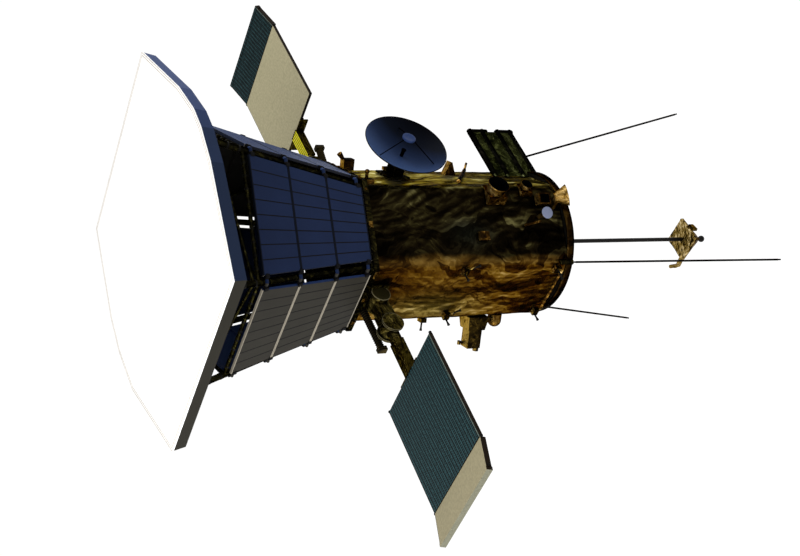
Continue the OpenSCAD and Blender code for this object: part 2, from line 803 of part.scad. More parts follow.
module boom_root() {
  color("#3a3830") difference() {
    union() {
      translate([0, 0, ring_h - 14]) cylinder(h = 14, r = 70);
      boom_frame() {
        for (s = [-1, 1]) translate([0, s * 30 - 5, 0]) {
          rotate([-90, 0, 0]) cylinder(h = 10, r = 22);
          translate([-22, 0, 0]) cube([44, 10, ring_h - boom_hinge_z - 8]);
        }
      }
    }
    boom_frame() translate([0, -50, 0]) rotate([-90, 0, 0]) cylinder(h = 100, r = 9 + pin_gap);
  }
}

module boom_tube() {
  color("#26231e") boom_frame() {
    translate([0, -19, 0]) rotate([-90, 0, 0]) cylinder(h = 38, r = 22);
    translate([0, -38, 0]) rotate([-90, 0, 0]) cylinder(h = 76, r = 9);
    translate([0, 0, -boom_l]) cylinder(h = boom_l, r = boom_r);
  }
}

// Sensor head: a square base plate, a pyramid that tapers away from the body to
// a knob on a neck, a small side plate, and an arm with a cross piece
module boom_head() {
  base_z = -boom_l;
  color("#8c7a48") boom_frame() rotate([0, 0, -boom_fold_azimuth]) translate([0, 0, base_z]) {
    translate([-head_w / 2, -head_w / 2, -18]) cube([head_w, head_w, 18]);
    hull() {
      translate([-head_w / 2, -head_w / 2, -18.5]) cube([head_w, head_w, 1]);
      translate([-24, -24, -head_h]) cube([48, 48, 1]);
    }
    translate([0, 0, -head_h - 42]) cylinder(h = 44, r = 16);
    translate([0, 0, -head_h - 52]) sphere(r = 27);
    rotate([0, 0, 100]) translate([head_w / 2 - 16, -34, -80]) cube([22, 68, 46]);
    bar([90, -100, -10], [150, -150, 46], 20);
    bar([150, -150, 46], [156, -156, 130], 15);
    bar([140, -176, 88], [176, -140, 88], 10);
  }
}

heat_shield_core();
heat_shield_coat();
truss_legs();
truss_rings();
truss_diagonals();
radiator(0);  // radiator_000
radiator(60);  // radiator_060
radiator(120);  // radiator_120
radiator(180);  // radiator_180
radiator(240);  // radiator_240
radiator(300);  // radiator_300
bus_body();
adapter_ring();
top_deck();
coolant_manifold();
shoulder_px();
shoulder_nx();
coolant_line_px();
coolant_line_nx();
flap_link_px();
flap_link_nx();
wing_arm_px();
wing_arm_nx();
wing_main_px();
wing_main_nx();
wing_tip_px();
wing_tip_nx();
dish_bracket();
dish_reflector();
dish_hub();
dish_feed();
star_tracker_upper();
star_tracker_lower();
ribbed_unit();
sensor_box();
horn_antenna();
disc_sensor();
hanging_instrument();
domed_instrument();
thrusters();
side_brackets();
rod_canisters();
rod_antennas();
boom_root();
boom_tube();
boom_head();
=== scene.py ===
import math

import bmesh
import bpy
import numpy as np
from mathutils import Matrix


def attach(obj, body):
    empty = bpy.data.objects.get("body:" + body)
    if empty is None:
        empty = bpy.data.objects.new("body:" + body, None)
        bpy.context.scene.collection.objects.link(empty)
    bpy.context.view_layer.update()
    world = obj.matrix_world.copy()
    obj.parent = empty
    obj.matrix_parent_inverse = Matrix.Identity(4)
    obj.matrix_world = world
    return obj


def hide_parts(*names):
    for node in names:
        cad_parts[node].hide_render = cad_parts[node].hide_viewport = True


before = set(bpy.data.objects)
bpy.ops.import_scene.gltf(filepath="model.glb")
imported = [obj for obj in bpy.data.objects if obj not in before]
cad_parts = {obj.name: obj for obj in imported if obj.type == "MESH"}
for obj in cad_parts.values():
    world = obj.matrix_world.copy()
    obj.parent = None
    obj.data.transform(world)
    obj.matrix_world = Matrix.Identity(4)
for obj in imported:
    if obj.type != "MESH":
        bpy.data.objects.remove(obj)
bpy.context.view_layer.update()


# Camera: the photograph is taken from in front of the shield's plane and above,
# turned on its side, so that the shield lies to the left and the boom to the right.
# Its place and turn were solved from the outline of the shield, wings and boom.
CAMERA_PLACE = (6.199, 6.190, 5.962)
CAMERA_RIGHT = (0.3524, 0.3270, -0.8769)
CAMERA_UP = (-0.7155, 0.6981, -0.0273)
CAMERA_AHEAD = (-0.6032, -0.6370, -0.4799)
PHOTO_WIDTH = 800
FOCAL_PIXELS = 1376.84
SENSOR_MM = 36.0

camera_data = bpy.data.cameras.new("camera")
camera_data.sensor_width = SENSOR_MM
camera_data.lens = FOCAL_PIXELS / PHOTO_WIDTH * SENSOR_MM
camera = bpy.data.objects.new("camera", camera_data)
bpy.context.scene.collection.objects.link(camera)
turn = np.eye(4)
turn[:3, 0] = CAMERA_RIGHT
turn[:3, 1] = CAMERA_UP
turn[:3, 2] = np.negative(CAMERA_AHEAD)
turn[:3, 3] = CAMERA_PLACE
camera.matrix_world = turn.T.tolist()
bpy.context.scene.camera = camera


# Studio: a plain pale floor below the rod antennas, a white surround, and soft
# lamps to both sides, of which the one on the shield's side is the stronger.
FLOOR_Z = -1.80
FLOOR_HALF = 60.0
FLOOR_COLOUR = "#fafaf8"
FLOOR_SHADOW_SHARE = 0.16
FLOOR_GLOW = 1.10
SURROUND_STRENGTH = 0.62
# name, place, side in metres, power in watts
LAMPS = [
    ("lamp_sunward", (6.5, 1.5, 8.0), 5.0, 620.0),
    ("lamp_right", (7.5, -5.0, 2.0), 5.0, 420.0),
    ("lamp_back", (-6.0, 6.0, 5.0), 6.0, 380.0),
]


def linear(hex_colour):
    """Linear colour for the shaders from an sRGB hex value, by the sRGB curve."""
    channels = [int(hex_colour[i:i + 2], 16) / 255 for i in (1, 3, 5)]
    curved = [c / 12.92 if c <= 0.04045 else ((c + 0.055) / 1.055) ** 2.4 for c in channels]
    return (*curved, 1.0)


def add_node(tree, kind, settings=(), links=(), stops=()):
    """Adds a shader node, sets its properties and colour stops, and sets or links its inputs."""
    made = tree.nodes.new("ShaderNode" + kind)
    for name, value in dict(settings).items():
        setattr(made, name, value)
    for number, (place, colour) in enumerate(stops):
        ramp = made.color_ramp.elements
        stop = ramp[0] if number == 0 else ramp[-1] if number == len(stops) - 1 else ramp.new(place)
        stop.position = place
        stop.color = linear(colour)
    for socket, value in dict(links).items():
        if isinstance(value, bpy.types.NodeSocket):
            tree.links.new(value, made.inputs[socket])
        else:
            made.inputs[socket].default_value = value
    return made


def empty_tree(owner):
    """Turns on nodes for a material or world, clears them and gives the tree."""
    owner.use_nodes = True
    owner.node_tree.nodes.clear()
    return owner.node_tree


def seen_directly(tree):
    """1 for the rays that show the surround as it is: from the camera, gloss or glass."""
    path = add_node(tree, "LightPath")
    either = add_node(tree, "Math", {"operation": "MAXIMUM"},
                      {0: path.outputs["Is Camera Ray"], 1: path.outputs["Is Glossy Ray"]})
    return add_node(tree, "Math", {"operation": "MAXIMUM"},
                    {0: either.outputs[0], 1: path.outputs["Is Transmission Ray"]}).outputs[0]


world = bpy.data.worlds.new("surround")
bpy.context.scene.world = world
tree = empty_tree(world)
strength = add_node(tree, "MapRange", links={"Value": seen_directly(tree), "To Min": SURROUND_STRENGTH,
                                             "To Max": 1.0})
sky = add_node(tree, "Background", links={"Color": (1, 1, 1, 1), "Strength": strength.outputs[0]})
add_node(tree, "OutputWorld", links={"Surface": sky.outputs[0]})

floor_finish = bpy.data.materials.new("matt_studio_floor")
tree = empty_tree(floor_finish)
lit = add_node(tree, "BsdfDiffuse", links={"Color": linear(FLOOR_COLOUR)})
plain = add_node(tree, "Emission", links={"Color": (1, 1, 1, 1), "Strength": FLOOR_GLOW})
share = add_node(tree, "MapRange", links={"Value": seen_directly(tree), "To Min": 0.0,
                                          "To Max": 1.0 - FLOOR_SHADOW_SHARE})
mixed = add_node(tree, "MixShader", links={0: share.outputs[0], 1: lit.outputs[0], 2: plain.outputs[0]})
add_node(tree, "OutputMaterial", links={"Surface": mixed.outputs[0]})

floor_mesh = bpy.data.meshes.new("floor")
floor_corners = [(x * FLOOR_HALF, y * FLOOR_HALF, FLOOR_Z) for x, y in ((-1, -1), (1, -1), (1, 1), (-1, 1))]
floor_mesh.from_pydata(floor_corners, [], [(0, 1, 2, 3)])
floor_mesh.materials.append(floor_finish)
floor = bpy.data.objects.new("floor", floor_mesh)
bpy.context.scene.collection.objects.link(floor)

for lamp_name, lamp_place, lamp_side, lamp_power in LAMPS:
    lamp_data = bpy.data.lights.new(lamp_name, "AREA")
    lamp_data.size = lamp_side
    lamp_data.energy = lamp_power
    lamp = bpy.data.objects.new(lamp_name, lamp_data)
    bpy.context.scene.collection.objects.link(lamp)
    lamp.location = lamp_place
    aim = -lamp.location.normalized()
    lamp.rotation_euler = aim.to_track_quat("-Z", "Y").to_euler()

bpy.context.scene.view_settings.view_transform = "Standard"


# Adapter ring: the launch adapter's ring at the aft end, turned from aluminium
# forging and black anodised. It is bolted up to the body through its upper flange
# and to the launcher through the twelve holes of its lower flange.
RING_COLOUR = "#100e0b"


def anodised_metal(name, colour, metallic, roughness, speckle_mm):
    """Turned and anodised aluminium: fine speckle in its colour and gloss."""
    material = bpy.data.materials.new(name)
    tree = empty_tree(material)
    place = add_node(tree, "TexCoord").outputs["Object"]
    speckle = add_node(tree, "TexNoise", links={"Vector": place, "Scale": 1000 / speckle_mm, "Detail": 3.0})
    tint = add_node(tree, "HueSaturation", links={"Color": linear(colour)})
    lighter = add_node(tree, "MapRange", links={"Value": speckle.outputs[0], "To Min": 0.75, "To Max": 1.25})
    tree.links.new(lighter.outputs[0], tint.inputs["Value"])
    duller = add_node(tree, "MapRange", links={"Value": speckle.outputs[0], "To Min": roughness - 0.08,
                                               "To Max": roughness + 0.08})
    shader = add_node(tree, "BsdfPrincipled", links={
        "Base Color": tint.outputs[0], "Metallic": metallic, "Roughness": duller.outputs[0]})
    add_node(tree, "OutputMaterial", links={"Surface": shader.outputs[0]})
    return material


def finish_node(node, material):
    """Gives a node of the frame a material in each of its slots."""
    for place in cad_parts[node].material_slots:
        place.material = material


black_anodised = anodised_metal("black_anodised_aluminium", RING_COLOUR, 0.55, 0.42, 3.0)
finish_node("adapter_ring", black_anodised)


# Body blanket: the thermal blanket that wraps the six-sided body, many layers of
# amber film with a metal back, laid on in long sheets that were taped down and
# crumpled as they went round the corners. Its colour turns from gold to near black by
# facet, which is painted light and shade, and soft spots add a painted sheen, a painted
# blue-grey reflection and painted shadows.
BODY_APOTHEM = 0.4925
BODY_CORNER_RADIUS = 0.5595
BODY_LOW = 0.058
BODY_HIGH = 1.650
BODY_CLOSE_HEIGHT = 0.06
BODY_LOW_RADIUS = 0.531
BODY_COLUMNS = 360
BODY_ROWS = 260
BODY_FOLD_HEIGHT = 0.009
# from valley to crest: the facets in painted shade, the painted warm lit ones,
# the painted pale olive lit ones and the painted blue-grey reflection
FILM_SHADED_FACETS = [(0.24, "#030201"), (0.46, "#0a0703"), (0.60, "#151007"), (0.76, "#2a2512"), (0.96, "#5c5634")]
FILM_GOLD = [(0.18, "#120b04"), (0.38, "#2e1d09"), (0.52, "#4c3511"), (0.70, "#765b28"), (0.92, "#b49862")]
FILM_LIT_OLIVE_FACETS = [(0.22, "#3a3214"), (0.42, "#60562a"), (0.54, "#847848"), (0.68, "#aca066"), (0.88, "#dcd4a0")]
FILM_PAINTED_REFLECTION = [(0.24, "#080907"), (0.44, "#131510"), (0.58, "#20241c"), (0.74, "#373d36"), (0.92, "#626a62")]


def join_grids(grids, wrapped=True, closed=True):
    """Vertices and faces of several grids of points: each cell of a grid is one
    four-sided face, the columns run round and meet, and both ends close at a pole."""
    vertices = []
    faces = []
    start = 0
    for grid in grids:
        points = np.asarray(grid, float)
        if closed:
            ends = [np.broadcast_to(points[i].mean(0), points[i].shape) for i in (0, -1)]
            points = np.concatenate([ends[:1], points, ends[1:]])
        rows, columns = points.shape[:2]
        index = start + np.arange(rows * columns).reshape(rows, columns)
        if wrapped:
            index = np.hstack([index, index[:, :1]])
        cells = np.stack([index[:-1, :-1], index[:-1, 1:], index[1:, 1:], index[1:, :-1]], axis=-1)
        vertices.append(points.reshape(-1, 3))
        faces.append(cells.reshape(-1, 4))
        start += rows * columns
    return np.concatenate(vertices), np.concatenate(faces)


def add_piece(name, shape, material, body, smooth=True, values=None, loose=1e-6):
    """Makes a mesh object from vertices and faces, merges its doubled points, turns its
    faces outwards, and lets it ride on a body. values are attributes, one number a point."""
    vertices, faces = shape
    mesh = bpy.data.meshes.new(name)
    mesh.from_pydata(vertices.tolist(), [], faces.tolist())
    for attribute, numbers in (values or {}).items():
        mesh.attributes.new(attribute, "FLOAT", "POINT").data.foreach_set("value", numbers.astype(np.float32))
    joined = bmesh.new()
    joined.from_mesh(mesh)
    bmesh.ops.remove_doubles(joined, verts=joined.verts, dist=loose)
    bmesh.ops.recalc_face_normals(joined, faces=joined.faces)
    joined.to_mesh(mesh)
    joined.free()
    mesh.polygons.foreach_set("use_smooth", np.full(len(mesh.polygons), smooth))
    mesh.materials.append(material)
    piece = bpy.data.objects.new(name, mesh)
    bpy.context.scene.collection.objects.link(piece)
    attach(piece, body)
    return piece


def folds(points, length, seed, octaves=5):
    """Crumpled film, from -1 to 1: creased waves, 1 - 2|sin|, in random directions, each
    bent by a longer wave, the lengths and heights falling from octave to octave."""
    random = np.random.default_rng(seed)
    height = np.zeros(points.shape[:-1])
    total = 0.0
    for octave in range(octaves):
        wave = length / 1.8 ** octave
        weight = 0.62 ** octave
        for _ in range(3):
            across = random.normal(size=points.shape[-1])
            across *= 2 * math.pi / wave / np.linalg.norm(across)
            along = random.normal(size=points.shape[-1])
            along *= 2 * math.pi / (2.1 * wave) / np.linalg.norm(along)
            bend = 1.3 * np.sin(points @ along + random.uniform(0, 7))
            crease = 1 - 2 * np.abs(np.sin((points @ across + bend) / 2 + random.uniform(0, 7)))
            height += weight * crease
            total += weight
    return height / total * 1.6


def film_blanket(name, stops, more=(), streak=(9.0, 9.0, 2.4), roughness=0.34, fine_mm=9.0,
                 painted_fold_light_share=0.0, sunward=0.12):
    """Crumpled metal-backed film. Long stretched cells of one tone each, like flat facets,
    lie over slow streaks. Painted light shifts the tone up and down: the fold attribute,
    which on the body and boom head carries painted light on the folds' slopes and painted
    shadows, and painted sunlight by sunward, which lightens faces that look up.
    more gives further colour ramps, each with the attribute that brings it in."""
    material = bpy.data.materials.new(name)
    tree = empty_tree(material)
    coordinates = add_node(tree, "TexCoord")
    place = coordinates.outputs["Object"]
    slow = add_node(tree, "TexNoise", links={"Vector": place, "Scale": 2.4, "Detail": 3.0}).outputs["Color"]
    bent = add_node(tree, "VectorMath", {"operation": "MULTIPLY_ADD"},
                    {0: slow, 1: (0.5, 0.5, 0.5), 2: place}).outputs[0]
    drawn = add_node(tree, "VectorMath", {"operation": "MULTIPLY"}, {0: bent, 1: streak}).outputs[0]
    broad = add_node(tree, "TexNoise", links={"Vector": drawn, "Scale": 1.0, "Detail": 6.0,
                                              "Roughness": 0.62, "Distortion": 0.9}).outputs[0]
    facets = add_node(tree, "TexVoronoi", links={"Vector": drawn, "Scale": 2.2}).outputs["Color"]
    chips = add_node(tree, "TexVoronoi", links={"Vector": drawn, "Scale": 6.5}).outputs["Color"]
    crease = add_node(tree, "TexVoronoi", {"feature": "DISTANCE_TO_EDGE"},
                      {"Vector": bent, "Scale": 1000 / (3 * fine_mm)}).outputs[0]
    fold = add_node(tree, "Attribute", {"attribute_name": "fold"}).outputs["Fac"]
    # painted sunlight: the normal's upward part, times sunward, lightens faces that look up
    up = add_node(tree, "SeparateXYZ", links={0: coordinates.outputs["Normal"]}).outputs[2]
    tone = add_node(tree, "Math", {"operation": "MULTIPLY_ADD"}, {0: broad, 1: 0.6, 2: -0.06}).outputs[0]
    for extra, share in ((facets, 0.34), (chips, 0.20), (fold, painted_fold_light_share), (up, sunward)):
        tone = add_node(tree, "Math", {"operation": "MULTIPLY_ADD"}, {0: extra, 1: share, 2: tone}).outputs[0]
    colour = add_node(tree, "ValToRGB", links={0: tone}, stops=stops).outputs[0]
    for attribute, more_stops in more:
        amount = add_node(tree, "Attribute", {"attribute_name": attribute}).outputs["Fac"]
        other = add_node(tree, "ValToRGB", links={0: tone}, stops=more_stops).outputs[0]
        colour = add_node(tree, "Mix", {"data_type": "RGBA"}, {0: amount, 6: colour, 7: other}).outputs[2]
    height = add_node(tree, "Math", {"operation": "ADD"}, {0: chips, 1: crease}).outputs[0]
    bump = add_node(tree, "Bump", links={"Height": height, "Strength": 0.7, "Distance": fine_mm / 1000 * 0.5})
    shader = add_node(tree, "BsdfPrincipled", links={
        "Base Color": colour, "Metallic": 1.0, "Roughness": roughness, "Specular Tint": colour,
        "Normal": bump.outputs[0]})
    add_node(tree, "OutputMaterial", links={"Surface": shader.outputs[0]})
    return material


def body_radius(angle):
    """Radius of the body's outline: a hexagon cut by the circle that rounds its corners."""
    from_flat = (angle + math.pi / 6) % (math.pi / 3) - math.pi / 6
    return np.minimum(BODY_APOTHEM / np.cos(from_flat), BODY_CORNER_RADIUS)


def near_azimuth(angle, azimuth, half_width=30.0, blur=5.0):
    """1 within half_width degrees of an azimuth and 0 beyond, with a soft step between."""
    away = np.abs((np.degrees(angle) - azimuth + 180) % 360 - 180)
    return np.clip((half_width - away) / blur + 0.5, 0, 1)


angle = np.linspace(0, 2 * math.pi, BODY_COLUMNS, endpoint=False)[None, :]
height = np.linspace(BODY_LOW, BODY_HIGH, BODY_ROWS)[:, None]
angle, height = np.broadcast_arrays(angle, height)
closing = np.clip((height - BODY_LOW) / BODY_CLOSE_HEIGHT, 0, 1)
radius = np.minimum(body_radius(angle), BODY_LOW_RADIUS + closing * (BODY_CORNER_RADIUS - BODY_LOW_RADIUS))
drape = np.stack([3.3 * np.sin(angle), 3.3 * np.cos(angle), height], axis=-1)
drape[..., 0] += 0.9 * np.sin(1.9 * height + 2.0 * angle)
drape[..., 1] += 0.9 * np.cos(2.3 * height - 1.0 * angle)
fold = 0.7 * folds(drape, 2.3, 11) + 0.5 * folds(drape * [1, 1, 2.2], 1.6, 5, 4)
edge_fade = np.clip(np.minimum(height - BODY_LOW, BODY_HIGH - height) / 0.02, 0, 1)
radius = radius + BODY_FOLD_HEIGHT * (fold - 0.4) * edge_fade
body_points = np.stack([radius * np.cos(angle), radius * np.sin(angle), height], axis=-1)
# Painted light and shade on the folds: the slope of the crumple round and up the side lightens folds that lean one way
# and darkens the others.
painted_fold_light = np.gradient(fold, axis=1) + 0.35 * np.gradient(fold, axis=0)
painted_fold_light = np.clip(painted_fold_light / painted_fold_light.std(), -2.0, 2.4)


def with_poles(numbers):
    """Repeats the first and last rows of a grid of numbers for the poles of join_grids."""
    return np.concatenate([numbers[:1], numbers, numbers[-1:]]).reshape(-1)


def soft_spot(azimuth, along, z, half_along, half_z):
    """A smooth hill from 0 to 1 round a point of the body's side, exp(-distance squared)."""
    at = np.cos(angle - math.radians(azimuth)) * 0.5
    beside = np.sin(angle - math.radians(azimuth)) * 0.5
    near = np.exp(-((beside - along) / half_along) ** 2 - ((height - z) / half_z) ** 2)
    return near * (at > 0)


# Painted light by facet: warm lit gold round azimuth -30 and, at half share, round 210; pale lit olive round 122,
# weaker away from a height of 1.2 m. The rest keeps the dark palette of the facets in painted shade.
ragged = angle + 0.10 * fold
painted_warm_light = near_azimuth(ragged, -30.0, 60.0, 7.0) + 0.5 * near_azimuth(ragged, 210.0, 30.0, 9.0)
pale = near_azimuth(ragged, 122.0, 31.0, 9.0) * np.clip(1.15 - 0.45 * np.abs(height - 1.2), 0.25, 1)
# A painted sheen: a soft pale olive spot on the 0 side.
pale = np.clip(pale + 0.42 * soft_spot(0, -0.16, 1.08, 0.13, 0.34), 0, 1)
# A painted blue-grey reflection: a soft spot on the 60 side.
painted_reflection = 0.5 * soft_spot(60, -0.06, 0.86, 0.08, 0.15)
# Painted shadows: a dark spot below the shoulder on the 0 side and one low on the 60 side; they push the fold tone
# down.
painted_shadow = 1.6 * soft_spot(0, 0.18, 1.50, 0.13, 0.20) + 0.8 * soft_spot(60, -0.1, 0.25, 0.3, 0.2)
body_film = film_blanket("amber_metal_backed_film", FILM_SHADED_FACETS,
                         [("painted_warm_light", FILM_GOLD), ("pale", FILM_LIT_OLIVE_FACETS), ("painted_reflection", FILM_PAINTED_REFLECTION)],
                         streak=(5.5, 5.5, 1.3), painted_fold_light_share=0.10)
# The fold attribute carries the painted fold light less the painted shadows.
body_blanket = add_piece("body_blanket", join_grids([body_points]), body_film, "root",
                         values={"fold": with_poles(painted_fold_light - 1.5 * painted_shadow),
                                 "painted_warm_light": with_poles(np.clip(painted_warm_light, 0, 1)),
                                 "pale": with_poles(pale), "painted_reflection": with_poles(np.clip(painted_reflection, 0, 1))})
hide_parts("bus_body")
HEM_LOW = 0.004
HEM_RADIUS = 0.5335
hem_turn = np.linspace(0, 2 * math.pi, 240, endpoint=False)
hem_rows = []
for radius, z in ((HEM_RADIUS, HEM_LOW), (HEM_RADIUS + 0.0020, HEM_LOW), (HEM_RADIUS + 0.0030, 0.020),
                  (HEM_RADIUS + 0.0030, 0.042), (HEM_RADIUS + 0.0010, 0.0595), (HEM_RADIUS - 0.0100, 0.0595),
                  (HEM_RADIUS - 0.0100, 0.0575), (HEM_RADIUS, 0.0560), (HEM_RADIUS, HEM_LOW)):
    bulge = 0.0008 * np.sin(17 * hem_turn + 400 * z) if 0.01 < z < 0.05 else 0
    hem_rows.append(np.column_stack([(radius + bulge) * np.cos(hem_turn), (radius + bulge) * np.sin(hem_turn),
                                     np.full(240, z)]))
hem_values = np.full(9 * 240, -1.6)
add_piece("body_blanket_hem", join_grids([np.array(hem_rows)], closed=False), body_film, "root",
          values={"fold": hem_values, "painted_warm_light": 0 * hem_values + 0.3, "pale": 0 * hem_values, "painted_reflection": 0 * hem_values})


# Radiators: six flared panels of three plates each. Each plate is a sheet of titanium
# with cooling strips under a dark paint; its navy, grey or blue by side is painted light
# and shade by the way a face looks. Edge bars close the plates, pale as painted light on
# the faces toward azimuth 0 and dark elsewhere, and dark clips hold them to the pipes behind.
LEG_FOOT = (0.566, 1.690)
LEG_HEAD = (0.960, 2.905)
RADIATOR_LOW_Z = 1.710
RADIATOR_HIGH_Z = 2.596
RADIATOR_STANDS = (0.053, 0.039)
RADIATOR_MARGINS = (0.031, 0.034)
RADIATOR_GAP = 0.016
RADIATOR_PLATES = 3
RADIATOR_STRIP_THICK = 0.004
RADIATOR_PLATE_THICK = 0.015
EDGE_BAR = 0.006
CLIP_HALF = (0.011, 0.013, 0.015)
# painted light and shade by facing: grey-brown toward azimuth 0, navy to blue toward 60 to 120; the bars are pale only
# toward azimuth 0
# azimuth of the face in radians from -pi to pi, as shares of the ramp from 0 to 1
RADIATOR_LIGHT_BY_FACING = [(0.30, "#141a2a"), (0.44, "#272520"), (0.54, "#292722"), (0.63, "#101a32"),
                   (0.70, "#172442"), (0.76, "#263862"), (0.86, "#28385c"), (0.98, "#141b2c")]
BAR_LIGHT_BY_FACING = [(0.30, "#1a1c22"), (0.44, "#8f887a"), (0.55, "#8f887a"), (0.62, "#0a0e18"),
                  (0.74, "#0a0e18"), (0.80, "#1c2438"), (0.96, "#12141c")]


def leg_radius(z):
    """Distance of a leg's centre line from the axis at a height."""
    share = (z - LEG_FOOT[1]) / (LEG_HEAD[1] - LEG_FOOT[1])
    return LEG_FOOT[0] + (LEG_HEAD[0] - LEG_FOOT[0]) * share


def facing_share(tree):
    """Azimuth that a face looks to, from 0 to 1: atan2 of its normal, over a full turn."""
    normal = add_node(tree, "TexCoord").outputs["Normal"]
    parts = add_node(tree, "SeparateXYZ", links={0: normal})
    turn = add_node(tree, "Math", {"operation": "ARCTAN2"}, {0: parts.outputs[1], 1: parts.outputs[0]})
    return add_node(tree, "MapRange", links={"Value": turn.outputs[0], "From Min": -math.pi,
                                             "From Max": math.pi}).outputs[0]


def paint_shaded_by_facing(name, stops, roughness, grain_mm, specular=0.05, spread=0.12):
    """Paint on metal with painted light and shade: its colour is looked up by the way a
    face looks. Fine sprayed grain, and slow darker and lighter patches."""
    material = bpy.data.materials.new(name)
    tree = empty_tree(material)
    place = add_node(tree, "TexCoord").outputs["Object"]
    base = add_node(tree, "ValToRGB", links={0: facing_share(tree)}, stops=stops)
    grain = add_node(tree, "TexNoise", links={"Vector": place, "Scale": 1000 / grain_mm, "Detail": 2.0})
    patch = add_node(tree, "TexNoise", links={"Vector": place, "Scale": 5.0, "Detail": 3.0})
    both = add_node(tree, "Math", {"operation": "ADD"}, {0: grain.outputs[0], 1: patch.outputs[0]})
    value = add_node(tree, "MapRange", links={"Value": both.outputs[0], "From Min": 0.7, "From Max": 1.3,
                                              "To Min": 1 - spread, "To Max": 1 + spread})
    tint = add_node(tree, "HueSaturation", links={"Color": base.outputs[0], "Value": value.outputs[0]})
    bump = add_node(tree, "Bump", links={"Height": grain.outputs[0], "Strength": 0.15, "Distance": 0.0004})
    shader = add_node(tree, "BsdfPrincipled", links={
        "Base Color": tint.outputs[0], "Metallic": 0.0, "Roughness": roughness,
        "Specular IOR Level": specular, "Normal": bump.outputs[0]})
    add_node(tree, "OutputMaterial", links={"Surface": shader.outputs[0]})
    return material


def blocks(centres, halves, turns):
    """Vertices and faces of many small blocks: eight corners each, centre plus turn times
    the signed half sizes."""
    signs = np.array([(x, y, z) for z in (-1, 1) for y in (-1, 1) for x in (-1, 1)], float)
    corners = np.einsum("nij,nkj->nki", np.asarray(turns, float),
                        signs[None] * np.asarray(halves, float)[:, None])
    vertices = (np.asarray(centres, float)[:, None] + corners).reshape(-1, 3)
    one = np.array([(0, 2, 3, 1), (4, 5, 7, 6), (0, 1, 5, 4), (2, 6, 7, 3), (0, 4, 6, 2), (1, 3, 7, 5)])
    faces = (one[None] + 8 * np.arange(len(centres))[:, None, None]).reshape(-1, 4)
    return vertices, faces


low_apothem = leg_radius(RADIATOR_LOW_Z) * math.cos(math.pi / 6) + RADIATOR_STANDS[0]
high_apothem = leg_radius(RADIATOR_HIGH_Z) * math.cos(math.pi / 6) + RADIATOR_STANDS[1]
low_half = leg_radius(RADIATOR_LOW_Z) / 2 - RADIATOR_MARGINS[0]
high_half = leg_radius(RADIATOR_HIGH_Z) / 2 - RADIATOR_MARGINS[1]
flare = math.atan2(high_apothem - low_apothem, RADIATOR_HIGH_Z - RADIATOR_LOW_Z)
slope_length = (RADIATOR_HIGH_Z - RADIATOR_LOW_Z) / math.cos(flare)
plate_length = (slope_length - (RADIATOR_PLATES - 1) * RADIATOR_GAP) / RADIATOR_PLATES


def about_z(degrees):
    """Turn about the upright axis."""
    c, s = math.cos(math.radians(degrees)), math.sin(math.radians(degrees))
    return np.array([[c, -s, 0], [s, c, 0], [0, 0, 1]])


def radiator_half(v):
    """Half of a radiator's width at a distance up its slope."""
    return low_half + (high_half - low_half) * v / slope_length


def radiator_turn(azimuth):
    """Axes of a radiator's slope: outward, across and up the slope, as columns."""
    c, s = math.cos(flare), math.sin(flare)
    return about_z(azimuth) @ np.array([[c, 0, s], [0, 1, 0], [-s, 0, c]])


def on_radiator(azimuth, outward, across, up):
    """Point of the frame from a place on a radiator's outer face."""
    foot = about_z(azimuth) @ np.array([low_apothem, 0, RADIATOR_LOW_Z])
    return foot + radiator_turn(azimuth) @ np.array([outward, across, up])


radiator_paint = paint_shaded_by_facing("dark_paint_shaded_by_facing", RADIATOR_LIGHT_BY_FACING, 0.5, 2.0)
line_black = paint_shaded_by_facing("black_gap_shade_and_clips", [(0.0, "#08080a"), (1.0, "#08080a")], 0.6, 2.0)
edge_bar_lit_by_facing = paint_shaded_by_facing("edge_bar_paint_lit_by_facing", BAR_LIGHT_BY_FACING, 0.6, 2.0)
plate_starts = [i * (plate_length + RADIATOR_GAP) for i in range(RADIATOR_PLATES)]
RADIATOR_STRIPS = 8
LINE_HALF = 0.0034
TAB_REACH = 0.028
TAB_RADIUS = 0.0128


def round_bar(start, end, radii, shares=(0.0, 1.0), sides=16):
    """Rows of rings round a straight line, one ring for each share of its length."""
    start, end = np.asarray(start, float), np.asarray(end, float)
    along = (end - start) / np.linalg.norm(end - start)
    side = np.cross(along, [0, 0, 1] if abs(along[2]) < 0.9 else [1, 0, 0])
    side /= np.linalg.norm(side)
    other = np.cross(along, side)
    turn = np.linspace(0, 2 * math.pi, sides, endpoint=False)[:, None]
    circle = np.cos(turn) * side + np.sin(turn) * other
    return np.array([start + (end - start) * share + radius * circle for share, radius in zip(shares, radii)])


